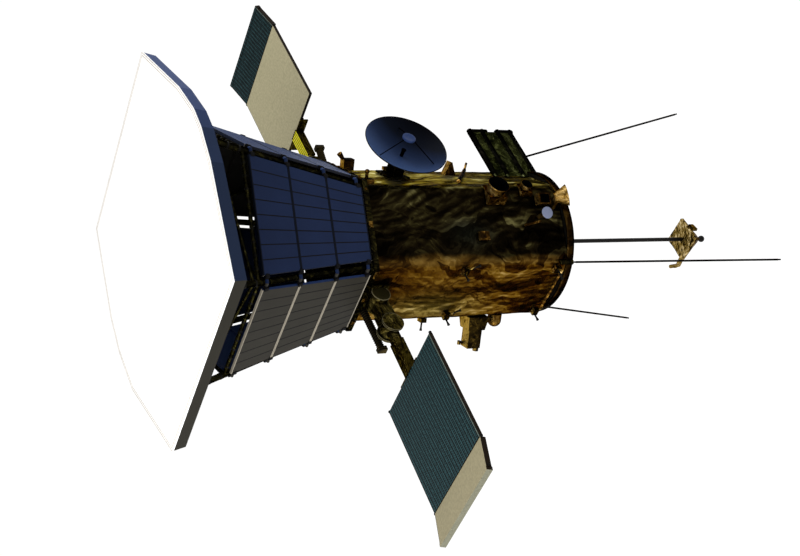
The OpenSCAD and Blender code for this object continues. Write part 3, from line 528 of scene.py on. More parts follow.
for azimuth in range(0, 360, 60):
    finish_node(f"radiator_{azimuth:03d}", radiator_paint)
    turn = radiator_turn(azimuth)
    lines, tabs = [], []
    bar_places, bar_halves, clip_places = [], [], []
    for v0 in plate_starts:
        v1 = v0 + plate_length
        # Black lines over the gaps between the cooling strips: painted shade in the gaps.
        for i in range(1, RADIATOR_STRIPS):
            share = -1 + 2 * i / RADIATOR_STRIPS
            ring = []
            for v in (v0 + 0.002, v1 - 0.002):
                middle = share * radiator_half(v)
                ring.append([on_radiator(azimuth, depth, middle + way * LINE_HALF, v)
                             for depth, way in ((-0.003, -1), (0.0004, -1), (0.0004, 1), (-0.003, 1))])
            lines.append(np.array(ring))
        for v, half in ((v0 - EDGE_BAR / 2, radiator_half(v0)), (v1 + EDGE_BAR / 2, radiator_half(v1))):
            bar_places.append(on_radiator(azimuth, -0.5 * RADIATOR_PLATE_THICK, 0, v))
            bar_halves.append((0.5 * RADIATOR_PLATE_THICK + 0.0015, half + 0.002, EDGE_BAR / 2))
    for v in (0.024, *[start - RADIATOR_GAP / 2 for start in plate_starts[1:]], slope_length - 0.024):
        half = radiator_half(v)
        for side in (-1, 1):
            clip_places.append(on_radiator(azimuth, -0.006, side * (half + 0.006), v))
            tabs.append(round_bar(on_radiator(azimuth, -0.015, side * (half - 0.002), v),
                                  on_radiator(azimuth, -0.015, side * (half + TAB_REACH), v),
                                  (TAB_RADIUS, TAB_RADIUS)))
    add_piece(f"radiator_gap_shade_lines_{azimuth:03d}", join_grids(lines), line_black, "root",
              smooth=False)
    add_piece(f"radiator_edge_bars_{azimuth:03d}", blocks(bar_places, bar_halves, [turn] * len(bar_places)),
              edge_bar_lit_by_facing, "root", smooth=False)
    add_piece(f"radiator_clips_{azimuth:03d}",
              blocks(clip_places, [CLIP_HALF] * len(clip_places), [turn] * len(clip_places)),
              line_black, "root", smooth=False)
    add_piece(f"radiator_tabs_{azimuth:03d}", join_grids(tabs), line_black, "root")


# Heat shield: two carbon sheets on a thick carbon foam core. Its front carries a white
# sprayed ceramic, and its sides are dark bare carbon, whose navy or brown by facet is
# painted light and shade.
SHIELD_LIGHT_BY_FACING = [(0.26, "#161c2c"), (0.40, "#211f19"), (0.53, "#23211b"), (0.64, "#121a2c"), (0.71, "#1b263c"),
                    (0.775, "#26355a"), (0.82, "#2d3e68"), (0.95, "#141b2c")]
shield_carbon = paint_shaded_by_facing("bare_carbon_shaded_by_facing", SHIELD_LIGHT_BY_FACING, 0.5, 4.0, spread=0.06)
finish_node("heat_shield_core", shield_carbon)
white_ceramic = paint_shaded_by_facing("sprayed_alumina", [(0.0, "#f6f6f5"), (1.0, "#f6f6f5")], 0.85, 3.0,
                                specular=0.3, spread=0.02)
finish_node("heat_shield_coat", white_ceramic)


# Edge seam: the white coat is sprayed up to a masked seam round the front's edge and
# a second one further in, which leave two fine beige lines.
SHIELD_RADIUS = 1.128
SHIELD_FRONT_Z = 3.000
SHIELD_SIDES = [(0, -0.035), (70.5, 0.003), (79, -0.005), (90, -0.001), (103, -0.011), (111, -0.004),
                (180, -0.042), (251, 0.040), (262, 0.017), (275, 0.002), (292.5, 0.006)]
SEAM_INSETS = (0.001, 0.018)
SEAM_WIDTH = 0.0055
SEAM_PROUD = 0.0008


def shield_outline(inset):
    """Corners of the shield: where the lines of two neighbouring sides cross, each line
    at its own distance from the axis less the inset."""
    corners = []
    for (first, p), (second, q) in zip(SHIELD_SIDES, SHIELD_SIDES[1:] + SHIELD_SIDES[:1]):
        lines = [[math.cos(math.radians(turn)), math.sin(math.radians(turn))] for turn in (first, second)]
        corners.append(np.linalg.solve(lines, [SHIELD_RADIUS + p - inset, SHIELD_RADIUS + q - inset]))
    return np.array(corners)


def ring_strip(inset, width, low, high):
    """Closed strip round the shield's front: its four-cornered profile goes round the
    outline and its last row comes back to the first."""
    rows = []
    for edge, z in ((inset, low), (inset, high), (inset + width, high), (inset + width, low), (inset, low)):
        corners = shield_outline(edge)
        rows.append(np.column_stack([corners, np.full(len(corners), z)]))
    return np.array(rows)


seam_beige = paint_shaded_by_facing("masked_seam", [(0.0, "#c2b8aa"), (1.0, "#c2b8aa")], 0.8, 3.0)
seams = [ring_strip(inset, SEAM_WIDTH, SHIELD_FRONT_Z - 0.0005, SHIELD_FRONT_Z + SEAM_PROUD)
         for inset in SEAM_INSETS]
add_piece("shield_edge_seams", join_grids(seams, closed=False), seam_beige, "root", smooth=False)


# Truss: tubes of titanium alloy in a wrap of olive film, held by dark ties.
WRAP_OLIVE = [(0.24, "#040402"), (0.46, "#0e0d07"), (0.60, "#1c1a0d"), (0.74, "#383419"), (0.90, "#706838")]
TIE_PITCH = 0.085
TIE_RADIUS = 0.0240
TIE_LENGTH = 0.012
RING_LEVELS = (1.740, 2.630, 2.868)
TIED_RING_RADIUS = 0.0158


truss_wrap = film_blanket("olive_film_wrap", WRAP_OLIVE, streak=(30.0, 30.0, 12.0), fine_mm=6.0)
for node in ("truss_legs", "truss_rings", "truss_diagonals"):
    finish_node(node, truss_wrap)
ties = []
for azimuth in range(30, 390, 60):
    for z in np.arange(2.66, 2.86, TIE_PITCH):
        low, high = z - TIE_LENGTH / 2, z + TIE_LENGTH / 2
        low_point = about_z(azimuth) @ np.array([leg_radius(low), 0, low])
        high_point = about_z(azimuth) @ np.array([leg_radius(high), 0, high])
        ties.append(round_bar(low_point, high_point, (TIE_RADIUS, TIE_RADIUS)))
    for level in RING_LEVELS[1:]:
        first = about_z(azimuth) @ np.array([leg_radius(level), 0, level])
        second = about_z(azimuth + 60) @ np.array([leg_radius(level), 0, level])
        for share in np.linspace(0.1, 0.9, 9):
            middle = first + (second - first) * share
            step = (second - first) / np.linalg.norm(second - first) * TIE_LENGTH / 2
            ties.append(round_bar(middle - step, middle + step, (TIED_RING_RADIUS, TIED_RING_RADIUS)))
tie_black = paint_shaded_by_facing("black_tie_tape", [(0.0, "#0d0c0a"), (1.0, "#0d0c0a")], 0.5, 2.0)
add_piece("truss_ties", join_grids(ties), tie_black, "root", smooth=False)


# Top deck and coolant manifold: the aluminium deck between body and truss, with the
# ring pipe of the cooling loop on it, under dark film with a few golden tags.
WRAP_DARK = [(0.22, "#030302"), (0.44, "#0b0a06"), (0.58, "#181508"), (0.72, "#332e16"), (0.84, "#6b6238")]
DECK_TOP_Z = 1.690
DECK_APOTHEM = 0.540
TAG_HALF = (0.004, 0.020, 0.014)
deck_wrap = film_blanket("dark_film_wrap", WRAP_DARK, streak=(24.0, 24.0, 10.0), fine_mm=7.0)
finish_node("top_deck", deck_wrap)
finish_node("coolant_manifold", deck_wrap)
random = np.random.default_rng(4)
tag_places, tag_halves, tag_turns = [], [], []
for azimuth in range(0, 360, 60):
    for across in random.uniform(-0.27, 0.27, 4):
        low = random.uniform(0.008, 0.034)
        tag_places.append(about_z(azimuth) @ np.array([DECK_APOTHEM, across, DECK_TOP_Z - low]))
        tag_halves.append(np.array(TAG_HALF) * random.uniform(0.3, 1.2, 3))
        tag_turns.append(about_z(azimuth + random.uniform(-20, 20)))
# The tags' film carries painted sunlight: faces that look up are lighter.
gold_tag = film_blanket("gold_tag_film", FILM_GOLD, streak=(40.0, 40.0, 40.0), fine_mm=4.0, sunward=0.3)
add_piece("deck_tags", blocks(tag_places, tag_halves, tag_turns), gold_tag, "root", smooth=False)


# Wing shoulders: aluminium fold hinges on the body's sides, under dark olive film.
WRAP_SHOULDER = [(0.22, "#080602"), (0.42, "#1b170a"), (0.56, "#332d14"), (0.68, "#544a24"), (0.84, "#8f8048")]
shoulder_wrap = film_blanket("shoulder_film_wrap", WRAP_SHOULDER, streak=(14.0, 14.0, 14.0), fine_mm=6.0, sunward=0.06)
finish_node("shoulder_px", shoulder_wrap)
finish_node("shoulder_nx", shoulder_wrap)
finish_node("flap_link_px", shoulder_wrap)
finish_node("flap_link_nx", shoulder_wrap)


SHOULDER_CAP = (0.549, 0.080, 1.560)
CAP_RADIUS = 0.0635
HINGE_X = 0.800
EAR_RADIUS = 0.076
EAR_FACES = (-0.066, -0.052, 0.052, 0.066)


def revolved(profile, place, along, sides=64):
    """Rings of a profile turned round an axis: (radius, distance along the axis) pairs,
    from a place and in a direction. A profile that starts and ends on the axis closes."""
    place, along = np.asarray(place, float), np.asarray(along, float) / np.linalg.norm(along)
    side = np.cross(along, [0, 0, 1] if abs(along[2]) < 0.9 else [1, 0, 0])
    side /= np.linalg.norm(side)
    other = np.cross(along, side)
    turn = np.linspace(0, 2 * math.pi, sides, endpoint=False)[:, None]
    circle = np.cos(turn) * side + np.sin(turn) * other
    return np.array([place + distance * along + radius * circle for radius, distance in profile])


caps, rims = [], []
for way in (1, -1):
    cap_profile = [(0, 0.0075), (0.040, 0.0070), (0.056, 0.0050), (CAP_RADIUS, 0.0010), (CAP_RADIUS, -0.002), (0, -0.002)]
    caps.append(revolved(cap_profile, np.array(SHOULDER_CAP) * [way, way, 1], (0, way, 0)))
    rims.append(revolved([(0.0645, -0.004), (0.0680, -0.004), (0.0680, 0.002), (0.0645, 0.002), (0.0645, -0.004)],
                         np.array(SHOULDER_CAP) * [way, way, 1], (0, way, 0)))
    for y in EAR_FACES:
        rim_profile = [(EAR_RADIUS - 0.0005, -0.0016), (EAR_RADIUS + 0.0012, -0.0016), (EAR_RADIUS + 0.0012, 0.0016),
                       (EAR_RADIUS - 0.0005, 0.0016), (EAR_RADIUS - 0.0005, -0.0016)]
        rims.append(revolved(rim_profile, (way * HINGE_X, y, SHOULDER_CAP[2]), (0, 1, 0)))
cap_olive = paint_shaded_by_facing("olive_cap_film", [(0.0, "#1c190a"), (1.0, "#1c190a")], 0.6, 3.0, specular=0.01, spread=0.4)
rim_tan = paint_shaded_by_facing("bare_rim_alloy", [(0.0, "#5e5840"), (1.0, "#5e5840")], 0.5, 2.0)
add_piece("shoulder_caps", join_grids(caps), cap_olive, "root")
add_piece("shoulder_rims", join_grids(rims, closed=False), rim_tan, "root")


# Coolant hoses: ribbed steel bellows under dark film. The crests of the ribs are pale,
# and the valleys nearly black.
HOSE_START = (0.475, -0.148, 1.600)
HOSE_END = (0.834, -0.176, 1.576)
HOSE_RIBS = 20


def bellows_finish(name, start, end, valley, crest):
    """Rings of light and dark along a line: the distance along the line, in ribs, goes
    through a sine, and the sine mixes the two colours."""
    material = bpy.data.materials.new(name)
    tree = empty_tree(material)
    place = add_node(tree, "TexCoord").outputs["Object"]
    line = np.subtract(end, start)
    way = line / np.dot(line, line) * HOSE_RIBS * 2 * math.pi
    away = add_node(tree, "VectorMath", {"operation": "SUBTRACT"}, {0: place, 1: start}).outputs[0]
    along = add_node(tree, "VectorMath", {"operation": "DOT_PRODUCT"}, {0: away, 1: tuple(way)})
    wave = add_node(tree, "Math", {"operation": "SINE"}, {0: along.outputs["Value"]}).outputs[0]
    share = add_node(tree, "MapRange", links={"Value": wave, "From Min": -0.2, "From Max": 1.0}).outputs[0]
    colour = add_node(tree, "Mix", {"data_type": "RGBA"}, {0: share, 6: linear(valley), 7: linear(crest)}).outputs[2]
    shader = add_node(tree, "BsdfPrincipled", links={
        "Base Color": colour, "Metallic": 0.0, "Roughness": 0.6, "Specular IOR Level": 0.02})
    add_node(tree, "OutputMaterial", links={"Surface": shader.outputs[0]})
    return material


hose_ends = [(HOSE_START, HOSE_END), ([-HOSE_START[0], -HOSE_START[1], HOSE_START[2]],
                                      [-HOSE_END[0], -HOSE_END[1], HOSE_END[2]])]
for node, (start, end) in zip(("coolant_line_px", "coolant_line_nx"), hose_ends):
    finish_node(node, bellows_finish(f"steel_bellows_{node[-2:]}", start, end, "#060402", "#362d15"))


# Wing arms: grooved beams in brown film. The sunward face of the far one carries a
# strip of bright yellow film.
WRAP_YELLOW = [(0.22, "#5a5208"), (0.42, "#8f8512"), (0.56, "#c4b81e"), (0.68, "#e6dc3c"), (0.84, "#fff690")]
WRAP_BROWN = [(0.22, "#080602"), (0.44, "#1a1607"), (0.58, "#302910"), (0.72, "#4e4420"), (0.90, "#857846")]
ARM_HALF_WIDTH = 0.047


def share_finish(name, first, second, share_of):
    """Two finishes on one node: the first one's nodes are kept, the second one's shader
    is built beside it by a function, and a share from the place or normal mixes them."""
    material = first.copy()
    material.name = name
    tree = material.node_tree
    coordinates = add_node(tree, "TexCoord")
    place = add_node(tree, "SeparateXYZ", links={0: coordinates.outputs["Object"]}).outputs
    facing = add_node(tree, "SeparateXYZ", links={0: coordinates.outputs["Normal"]}).outputs

    def two(operation, left, right):
        """Two values joined by one operation."""
        return add_node(tree, "Math", {"operation": operation}, {0: left, 1: right}).outputs[0]

    share = share_of(place, facing, two)
    film = next(node for node in tree.nodes if node.type == "BSDF_PRINCIPLED").outputs[0]
    coat = add_node(tree, "BsdfPrincipled", links=second).outputs[0]
    joined = add_node(tree, "MixShader", links={0: share, 1: film, 2: coat}).outputs[0]
    ending = next(node for node in tree.nodes if node.type == "OUTPUT_MATERIAL")
    tree.links.new(joined, ending.inputs["Surface"])
    return material


def yellow_strip(place, facing, two):
    """1 on the sunward face of the arm's beam, and 0 on its sides and bracket."""
    beam = two("LESS_THAN", two("MULTIPLY", place[1], place[1]), ARM_HALF_WIDTH ** 2)
    inboard = two("GREATER_THAN", place[0], -1.19)
    return two("MULTIPLY", two("MULTIPLY", beam, inboard), two("GREATER_THAN", facing[2], 0.6))


brown_arm = film_blanket("brown_arm_film", WRAP_BROWN, streak=(2.6, 40.0, 40.0), fine_mm=4.0)
finish_node("wing_arm_px", brown_arm)
yellow_coat = {"Base Color": linear("#f4ea20"), "Metallic": 0.0, "Roughness": 0.5, "Specular IOR Level": 0.1}
finish_node("wing_arm_nx", share_finish("brown_and_yellow_arm", brown_arm, yellow_coat, yellow_strip))


# Solar wings: cooled panels with cells on one face and bare sheet on the other. The
# cells are under glass and so small that they look like cloth, and the edges are taped.
CELL_PITCH_MM = 32.0
EDGE_LINE_MM = 3.0
WING_HALF_WIDTH = 0.400


def wing_finish(name, cells_up, sheet_hex, end_hex, cell_hex="#03090a", line_hex="#2c4c50"):
    """Panel whose look goes with the way each face looks: cells on one face, sheet on
    the other, dark tape on the narrow sides and bare alloy on the far end. Cells are two
    saw-tooths of the place held against a width. A pale line runs inside one long edge."""
    material = bpy.data.materials.new(name)
    tree = empty_tree(material)
    coordinates = add_node(tree, "TexCoord")
    place = coordinates.outputs["Object"]
    parts = add_node(tree, "SeparateXYZ", links={0: place})
    facing = add_node(tree, "SeparateXYZ", links={0: coordinates.outputs["Normal"]})

    def two(operation, first, second):
        """Two values joined by one sum, product, comparison, largest or smallest."""
        return add_node(tree, "Math", {"operation": operation}, {0: first, 1: second}).outputs[0]

    def size(value):
        """A value without its sign."""
        return add_node(tree, "Math", {"operation": "ABSOLUTE"}, {0: value}).outputs[0]

    def over(share, below, above):
        """One colour laid over another by a share."""
        return add_node(tree, "Mix", {"data_type": "RGBA"}, {0: share, 6: below, 7: above}).outputs[2]

    rows = []
    for socket, pitch in ((0, CELL_PITCH_MM * 0.5), (1, CELL_PITCH_MM)):
        saw = add_node(tree, "Math", {"operation": "FRACT"}, {0: two("MULTIPLY", parts.outputs[socket], 1000 / pitch)})
        rows.append(two("LESS_THAN", saw.outputs[0], 0.28))
    patch = add_node(tree, "TexNoise", links={"Vector": place, "Scale": 60.0, "Detail": 2.0}).outputs[0]
    lines = two("MULTIPLY", two("MAXIMUM", rows[0], rows[1]), two("MULTIPLY", patch, 1.2))
    cells = over(lines, linear(cell_hex), linear(line_hex))
    from_line = size(two("SUBTRACT", parts.outputs[1], WING_HALF_WIDTH - 0.011))
    cells = over(two("MULTIPLY", two("LESS_THAN", from_line, EDGE_LINE_MM / 2000), 0.7), cells, linear("#8d8a74"))
    face = two("GREATER_THAN" if cells_up else "LESS_THAN", facing.outputs[2], 0.0)
    colour = over(face, linear(sheet_hex), cells)
    edge = two("GREATER_THAN", size(two("DIVIDE", parts.outputs[1], 1.0)), WING_HALF_WIDTH - 0.004)
    colour = over(edge, colour, linear("#1c1206"))
    colour = over(two("LESS_THAN", size(facing.outputs[2]), 0.8), colour, linear("#160e05"))
    colour = over(two("GREATER_THAN", size(facing.outputs[0]), 0.8), colour, linear(end_hex))
    value = add_node(tree, "MapRange", links={"Value": patch, "From Min": 0.3, "From Max": 0.7,
                                              "To Min": 0.88, "To Max": 1.12})
    tint = add_node(tree, "HueSaturation", links={"Color": colour, "Value": value.outputs[0]})
    shader = add_node(tree, "BsdfPrincipled", links={
        "Base Color": tint.outputs[0], "Roughness": 0.45, "Specular IOR Level": 0.04})
    add_node(tree, "OutputMaterial", links={"Surface": shader.outputs[0]})
    return material


finish_node("wing_main_px", wing_finish("cells_main_px", True, "#8c8468", "#160e05"))
finish_node("wing_tip_px", wing_finish("sheet_tip_px", False, "#8c8468", "#6b6a5a"))
finish_node("wing_main_nx", wing_finish("sheet_main_nx", False, "#b6ae8b", "#160e05"))
finish_node("wing_tip_nx", wing_finish("cells_tip_nx", True, "#b6ae8b", "#160e05"))
WING_CORNERS = ((1.203, 0.400, 1.576), (2.046, 0.402, 1.576), (2.262, 0.402, 1.622))
KNOB_RADIUS = 0.011
FOLD_HINGE = (0.800, 1.560)
WING_RISE = math.radians(1.8)


def on_far_wing(point):
    """Place on the -X wing from one on the +X wing: raised by the wing's rise about the
    fold hinge, then turned half round the upright axis."""
    out, up = point[0] - FOLD_HINGE[0], point[2] - FOLD_HINGE[1]
    raised = (out * math.cos(WING_RISE) - up * math.sin(WING_RISE),
              out * math.sin(WING_RISE) + up * math.cos(WING_RISE))
    return (-FOLD_HINGE[0] - raised[0], -point[1], FOLD_HINGE[1] + raised[1])


knob_profile = [(KNOB_RADIUS * math.sin(math.pi * i / 12), -KNOB_RADIUS * math.cos(math.pi * i / 12)) for i in range(13)]
knob_black = paint_shaded_by_facing("black_knob", [(0.0, "#0c0a07"), (1.0, "#0c0a07")], 0.5, 2.0)
for body, places in (("wing_px", [(x, way * y, z) for x, y, z in WING_CORNERS for way in (1, -1)]),
                     ("wing_nx", [on_far_wing((x, way * y, z)) for x, y, z in WING_CORNERS for way in (1, -1)])):
    knobs = [revolved(knob_profile, place, (0, 1, 0), 20) for place in places]
    add_piece(f"corner_knobs_{body[-2:]}", join_grids(knobs), knob_black, body)


# Dish antenna: a carbon shell painted dark blue inside, wrapped in black film behind.
# Its feed looks into a small ring-edged reflector on three black struts.
DISH_CENTRE = (-0.294, 0.590, 1.254)
DISH_RADIUS = 0.300
DISH_FOCUS = 0.210
SUB_DISTANCE = 0.158
SUB_RADIUS = 0.046


def dish_paint(name, stops):
    """Satin dark blue paint with painted light and shade: lightest at the bowl's sunward
    lower edge and darker across it. The place along one slanting line, from -1 to 1, is
    looked up in the ramp."""
    material = bpy.data.materials.new(name)
    tree = empty_tree(material)
    place = add_node(tree, "TexCoord").outputs["Object"]
    away = add_node(tree, "VectorMath", {"operation": "SUBTRACT"}, {0: place, 1: DISH_CENTRE}).outputs[0]
    slant = add_node(tree, "VectorMath", {"operation": "DOT_PRODUCT"}, {0: away, 1: (0.72, 0.0, 0.69)})
    share = add_node(tree, "MapRange", links={"Value": slant.outputs["Value"], "From Min": -DISH_RADIUS,
                                              "From Max": DISH_RADIUS}).outputs[0]
    colour = add_node(tree, "ValToRGB", links={0: share}, stops=stops).outputs[0]
    shader = add_node(tree, "BsdfPrincipled", links={
        "Base Color": colour, "Roughness": 0.42, "Specular IOR Level": 0.02})
    add_node(tree, "OutputMaterial", links={"Surface": shader.outputs[0]})
    return material


finish_node("dish_reflector", dish_paint("dark_blue_dish_paint_and_painted_light", [
    (0.0, "#020204"), (0.24, "#060a14"), (0.44, "#15213a"), (0.68, "#2c3d60"), (1.0, "#364a70")]))
black_paint = paint_shaded_by_facing("black_optical_paint", [(0.0, "#020203"), (1.0, "#020203")], 0.6, 2.0, specular=0.0)
finish_node("dish_feed", black_paint)
finish_node("dish_hub", deck_wrap)
sub_blue = paint_shaded_by_facing("reflector_blue_grey", [(0.0, "#26355a"), (1.0, "#26355a")], 0.4, 2.0)
sub_profile = [(0, 0.0102), (0.030, 0.0102), (0.034, 0.0120), (SUB_RADIUS, 0.0125), (SUB_RADIUS + 0.002, 0.011),
               (SUB_RADIUS + 0.002, -0.001), (SUB_RADIUS - 0.002, -0.0015), (0, -0.0015)]
sub_place = (DISH_CENTRE[0], DISH_CENTRE[1] + SUB_DISTANCE, DISH_CENTRE[2])
add_piece("dish_small_reflector", join_grids([revolved(sub_profile, sub_place, (0, 1, 0))]), sub_blue,
          "dish")
back_rings = [(0.0, -0.0072)]
for share in np.linspace(0.14, 1.0, 14):
    reach = share * DISH_RADIUS
    back_rings.append((reach, reach ** 2 / (4 * DISH_FOCUS) - 0.0072))
rim = DISH_RADIUS ** 2 / (4 * DISH_FOCUS)
back_rings += [(DISH_RADIUS + 0.004, rim - 0.002), (DISH_RADIUS + 0.003, rim + 0.002), (DISH_RADIUS, rim + 0.0022),
               (DISH_RADIUS, rim - 0.0063)]
for share in np.linspace(1.0, 0.14, 14):
    reach = share * DISH_RADIUS
    back_rings.append((reach, reach ** 2 / (4 * DISH_FOCUS) - 0.0062))
back_rings.append((0.0, -0.0062))
black_wrap = film_blanket("black_back_film", [(0.2, "#030303"), (0.55, "#0c0b0a"), (0.9, "#2c2a26")],
                          streak=(12.0, 12.0, 12.0), roughness=0.45)
add_piece("dish_back_film", join_grids([revolved(back_rings, DISH_CENTRE, (0, 1, 0), 96)]), black_wrap,
          "dish")


# Dish bracket: the plate and ears that carry the dish's tilt axis, in dark film.
finish_node("dish_bracket", deck_wrap)


# Star trackers: cameras in boxes wrapped in brown and gold film. Each looks out of a
# round hood that is black inside.
FILM_BROWN = [(0.22, "#0a0502"), (0.42, "#1e1306"), (0.56, "#36230a"), (0.68, "#614518"), (0.84, "#b59252")]
TRACKERS = ((0.052, 0.618, 0.566, 0.078, 0.074), (0.020, 0.350, 0.572, 0.042, 0.040))
# Both films carry painted sunlight: faces that look up are lighter, gold on the hoods.
brown_wrap = film_blanket("brown_gold_film", FILM_BROWN, streak=(20.0, 20.0, 14.0), fine_mm=5.0, sunward=0.30)
hood_wrap = film_blanket("gold_hood_film", FILM_GOLD, streak=(20.0, 20.0, 14.0), fine_mm=5.0, sunward=0.25)
finish_node("star_tracker_upper", brown_wrap)
finish_node("star_tracker_lower", brown_wrap)
linings, hoods = [], []
for x, z, mouth_y, hood_radius, hood_length in TRACKERS:
    throat = hood_radius * 0.8 - 0.006
    mouth = throat + (hood_radius - 0.005 - throat) * (hood_length - 0.012) / hood_length
    bore = [(0, 0.0124), (throat - 0.0005, 0.0124), (mouth - 0.0005, hood_length - 0.0005),
            (hood_radius + 0.0002, hood_length - 0.0005), (hood_radius + 0.0002, hood_length + 0.0022),
            (mouth - 0.0016, hood_length + 0.0022), (throat - 0.0016, 0.0134), (0, 0.0134)]
    linings.append(revolved(bore, (x, mouth_y, z), (0, 1, 0)))
    sleeve = []
    for reach in np.linspace(0, 1, 8):
        bulge = 0.0010 + 0.0012 * math.sin(5 * reach) ** 2
        sleeve.append((hood_radius * (0.8 + 0.2 * reach) + bulge, 0.002 + reach * (hood_length - 0.001)))
    sleeve += [(hood_radius + 0.0003, hood_length + 0.001), (hood_radius * 0.8 + 0.0004, 0.002)]
    sleeve.append(sleeve[0])
    hoods.append(revolved(sleeve, (x, mouth_y, z), (0, 1, 0)))
add_piece("tracker_linings", join_grids(linings), black_paint, "root")
add_piece("tracker_hood_films", join_grids(hoods, closed=False), hood_wrap, "root")


# Ribbed unit: a flat radiator panel with black ribs and two rolled ends, between
# fields of dark olive film.
RIB_LEVELS = (-0.004, 0.108, 0.250, 0.358)
RIB_Y = 0.383
RIB_REACH = (-0.8455, -0.336)
RIB_RADIUS = 0.0215
ROLLS = ((-0.0345, 0.1065), (0.1995, 0.3575))
ROLL_X = -0.838
ROLL_Y = 0.3715
ROLL_RADIUS = 0.0248
OLIVE_PANEL = [(0.20, "#0a0b06"), (0.38, "#191b0f"), (0.52, "#292b19"), (0.68, "#40432a"), (0.88, "#6a6c4a")]
finish_node("ribbed_unit", film_blanket("olive_panel_film", OLIVE_PANEL, streak=(12.0, 12.0, 22.0), fine_mm=6.0))
rib_black = film_blanket("black_rib_film", [(0.2, "#020202"), (0.6, "#080806"), (0.95, "#24221a")],
                         streak=(20.0, 20.0, 20.0), roughness=0.5)
ribs = [round_bar((RIB_REACH[0], RIB_Y, z), (RIB_REACH[1], RIB_Y, z), (RIB_RADIUS, RIB_RADIUS), sides=24)
        for z in RIB_LEVELS]
ribs += [round_bar((ROLL_X, ROLL_Y, low), (ROLL_X, ROLL_Y, high), (0.019, ROLL_RADIUS, ROLL_RADIUS, 0.019),
                   (0.0, 0.05, 0.95, 1.0), 32) for low, high in ROLLS]
add_piece("ribbed_unit_ribs", join_grids(ribs), rib_black, "root")


# Aft sensors: an open box that is black inside, a gold horn, and a white round plate
# on a gold stem.
BOX_AT = (60.0, 0.178, 0.224)
PLATE_AT = (60.0, 0.051, 0.268)
PLATE_OUT = 0.1235
PLATE_RADIUS = 0.042
BODY_FLAT = 0.495


def on_side(azimuth, outward, along, z):
    """Point of the frame from a place on one of the body's flat sides."""
    return about_z(azimuth) @ np.array([BODY_FLAT + outward, along, z])


finish_node("sensor_box", brown_wrap)
azimuth, along, z = BOX_AT
wall_places = [on_side(azimuth, 0.0206, along, z)]
wall_halves = [(0.0004, 0.0326, 0.0396)]
for side in (-1, 1):
    wall_places += [on_side(azimuth, 0.0395, along + side * 0.0322, z), on_side(azimuth, 0.0395, along, z + side * 0.0392)]
    wall_halves += [(0.0183, 0.0005, 0.0396), (0.0183, 0.0326, 0.0005)]
add_piece("sensor_box_lining", blocks(wall_places, wall_halves, [about_z(azimuth)] * 5), black_paint,
          "root", smooth=False)
finish_node("horn_antenna", hood_wrap)
finish_node("disc_sensor", hood_wrap)
azimuth, along, z = PLATE_AT
plate_profile = [(0, 0.0022), (0.036, 0.0022), (0.0375, 0.0012), (0.041, 0.0016), (PLATE_RADIUS + 0.0008, 0.0),
                 (PLATE_RADIUS + 0.0008, -0.010), (PLATE_RADIUS - 0.002, -0.0135), (0, -0.0135)]
plate_way = about_z(azimuth) @ np.array([1.0, 0, 0])
sensor_white = paint_shaded_by_facing("white_sensor_paint", [(0.0, "#6f758c"), (1.0, "#6f758c")], 0.6, 2.0)
add_piece("disc_sensor_plate", join_grids([revolved(plate_profile, on_side(azimuth, PLATE_OUT + 0.0005, along, z),
                                                    plate_way)]), sensor_white, "root")


# Side instruments: a box that hangs off one side, in dark olive film whose sunward face
# is painted lighter, tan, as painted sunlight, and a small dome beside it.
FILM_INSTRUMENT = [(0.22, "#060402"), (0.48, "#181207"), (0.64, "#33280f"), (0.80, "#6e5826"), (1.0, "#ab8f4e")]
instrument_wrap = film_blanket("instrument_film", FILM_INSTRUMENT, streak=(14.0, 14.0, 14.0), fine_mm=6.0, sunward=0.42)
finish_node("hanging_instrument", instrument_wrap)
finish_node("domed_instrument", film_blanket("dome_film", FILM_GOLD, streak=(14.0, 14.0, 14.0), sunward=0.1))


# Thrusters: small rocket motors of black-coated alloy in pairs, on brackets wrapped in
# the same dark film, tan where painted sunlight lightens the faces that look up. All that
# stands further out than the bracket is motor.
BRACKET_REACH = 0.5255


def beyond_bracket(place, facing, two):
    """1 where the larger of the distances outward from the thrusters' sides is past the
    brackets: x itself, and the dot with the normal at 120 degrees."""
    turn = math.radians(120)
    slanted = two("ADD", two("MULTIPLY", place[0], math.cos(turn)), two("MULTIPLY", place[1], math.sin(turn)))
    squares = two("MAXIMUM", two("MULTIPLY", place[0], place[0]), two("MULTIPLY", slanted, slanted))
    return two("GREATER_THAN", squares, BRACKET_REACH ** 2)


motor_coat = {"Base Color": linear("#0a0805"), "Metallic": 0.0, "Roughness": 0.6, "Specular IOR Level": 0.05}
finish_node("thrusters", share_finish("thruster_film_and_coat", instrument_wrap, motor_coat, beyond_bracket))


# Brackets: small fittings on the body's sides, in dark film.
finish_node("side_brackets", brown_wrap)


# Boom: a dark carbon tube on a hinge under the body. Its sensor head is a pyramid of
# crumpled tan foil.
HEAD_TAN = [(0.22, "#100c04"), (0.38, "#4a3c1c"), (0.50, "#766232"), (0.66, "#9a8454"), (0.88, "#ccba90")]
HEAD_BASE_Z = -1.465
HEAD_HALF = 0.118
HEAD_NECK_HALF = 0.024
HEAD_HEIGHT = 0.148
rod_metal = anodised_metal("dark_rod_alloy", "#0d0a08", 0.8, 0.45, 3.0)
finish_node("boom_root", rod_metal)
finish_node("boom_tube", rod_metal)
head_foil = film_blanket("tan_head_foil", HEAD_TAN, streak=(6.0, 6.0, 6.0), fine_mm=9.0, sunward=0.02,
                         painted_fold_light_share=0.16)


def below_the_foil(place, facing, two):
    """1 on the knob and its neck, below the pyramid's narrow end."""
    return two("LESS_THAN", place[2], HEAD_BASE_Z - HEAD_HEIGHT - 0.003)


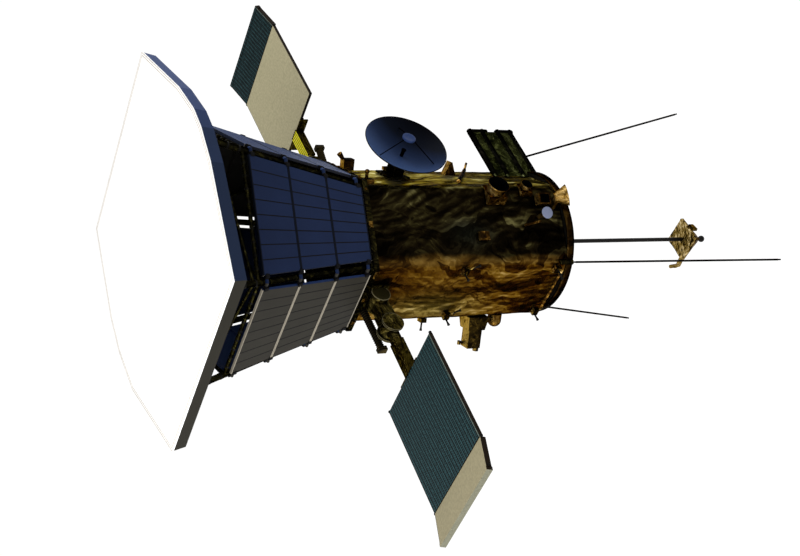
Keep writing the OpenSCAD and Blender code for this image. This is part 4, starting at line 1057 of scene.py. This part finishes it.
knob_coat = {"Base Color": linear("#0c0a08"), "Metallic": 0.0, "Roughness": 0.5, "Specular IOR Level": 0.1}
finish_node("boom_head", share_finish("head_foil_and_knob", head_foil, knob_coat, below_the_foil))
cap_rows, side_rows, columns = 22, 30, 140
turn = np.linspace(0, 2 * math.pi, columns, endpoint=False)[None, :]
square = np.stack([np.cos(turn), np.sin(turn)], axis=-1)
square = square / np.abs(square).max(-1, keepdims=True)
full = HEAD_HALF + 0.004
cap_half = np.linspace(0.03, 1, cap_rows)[:, None] * full
share = np.linspace(0, 1, side_rows)[:, None]
side_half = np.where(share < 0.12, full, full + (HEAD_NECK_HALF + 0.004 - full) * share)
half = np.concatenate([cap_half, side_half])
level = np.concatenate([np.full((cap_rows, 1), HEAD_BASE_Z + 0.004), HEAD_BASE_Z + 0.002 - (HEAD_HEIGHT + 0.002) * share])
foil = np.concatenate([square * half[..., None], np.broadcast_to(level[..., None], (len(half), columns, 1))], axis=-1)
crease = folds(foil, 0.11, 21, 4)
# Painted light and shade on the foil's folds: the crumple's change to a nearby point lightens folds that lean one way
# and darkens the others.
foil_painted_light = folds(foil + [0.004, 0.003, 0.002], 0.11, 21, 4) - crease
foil_painted_light = np.clip(foil_painted_light / foil_painted_light.std(), -2, 2)
foil[:cap_rows, :, 2] += 0.005 * (crease[:cap_rows] + 1)
foil[cap_rows:, :, :2] *= 1 + 0.04 * crease[cap_rows:, :, None]
add_piece("boom_head_foil", join_grids([foil]), head_foil, "boom",
          values={"fold": with_poles(foil_painted_light)})


# Rod antennas: three thin alloy rods from short canisters at the body's lower edge. Each
# has a black coated sleeve over all but its tip.
ROD_ROOTS = ((0.512, 0.296, 0.100), (-0.563, 0.319, 0.100), (0.0, -0.640, 0.080))
ROD_LEANS = ((42.0, 10.5), (147.0, 14.0), (251.0, 17.3))
SLEEVE_SPAN = (0.072, 1.780)
SLEEVE_RADIUS = 0.0078
rod_coating = paint_shaded_by_facing("rod_coating", [(0.0, "#060403"), (1.0, "#060403")], 0.6, 2.0, specular=0.01)
finish_node("rod_antennas", rod_coating)
finish_node("rod_canisters", deck_wrap)
sleeves = []
for root, (azimuth, lean) in zip(ROD_ROOTS, np.radians(ROD_LEANS)):
    way = np.array([math.sin(lean) * math.cos(azimuth), math.sin(lean) * math.sin(azimuth), -math.cos(lean)])
    near_end, far_end = (np.array(root) + way * reach for reach in SLEEVE_SPAN)
    sleeves.append(round_bar(near_end, far_end, (SLEEVE_RADIUS - 0.0015, SLEEVE_RADIUS, SLEEVE_RADIUS,
                                                 SLEEVE_RADIUS - 0.0015), (0.0, 0.002, 0.998, 1.0), 24))
add_piece("rod_sleeves", join_grids(sleeves), rod_coating, "root")
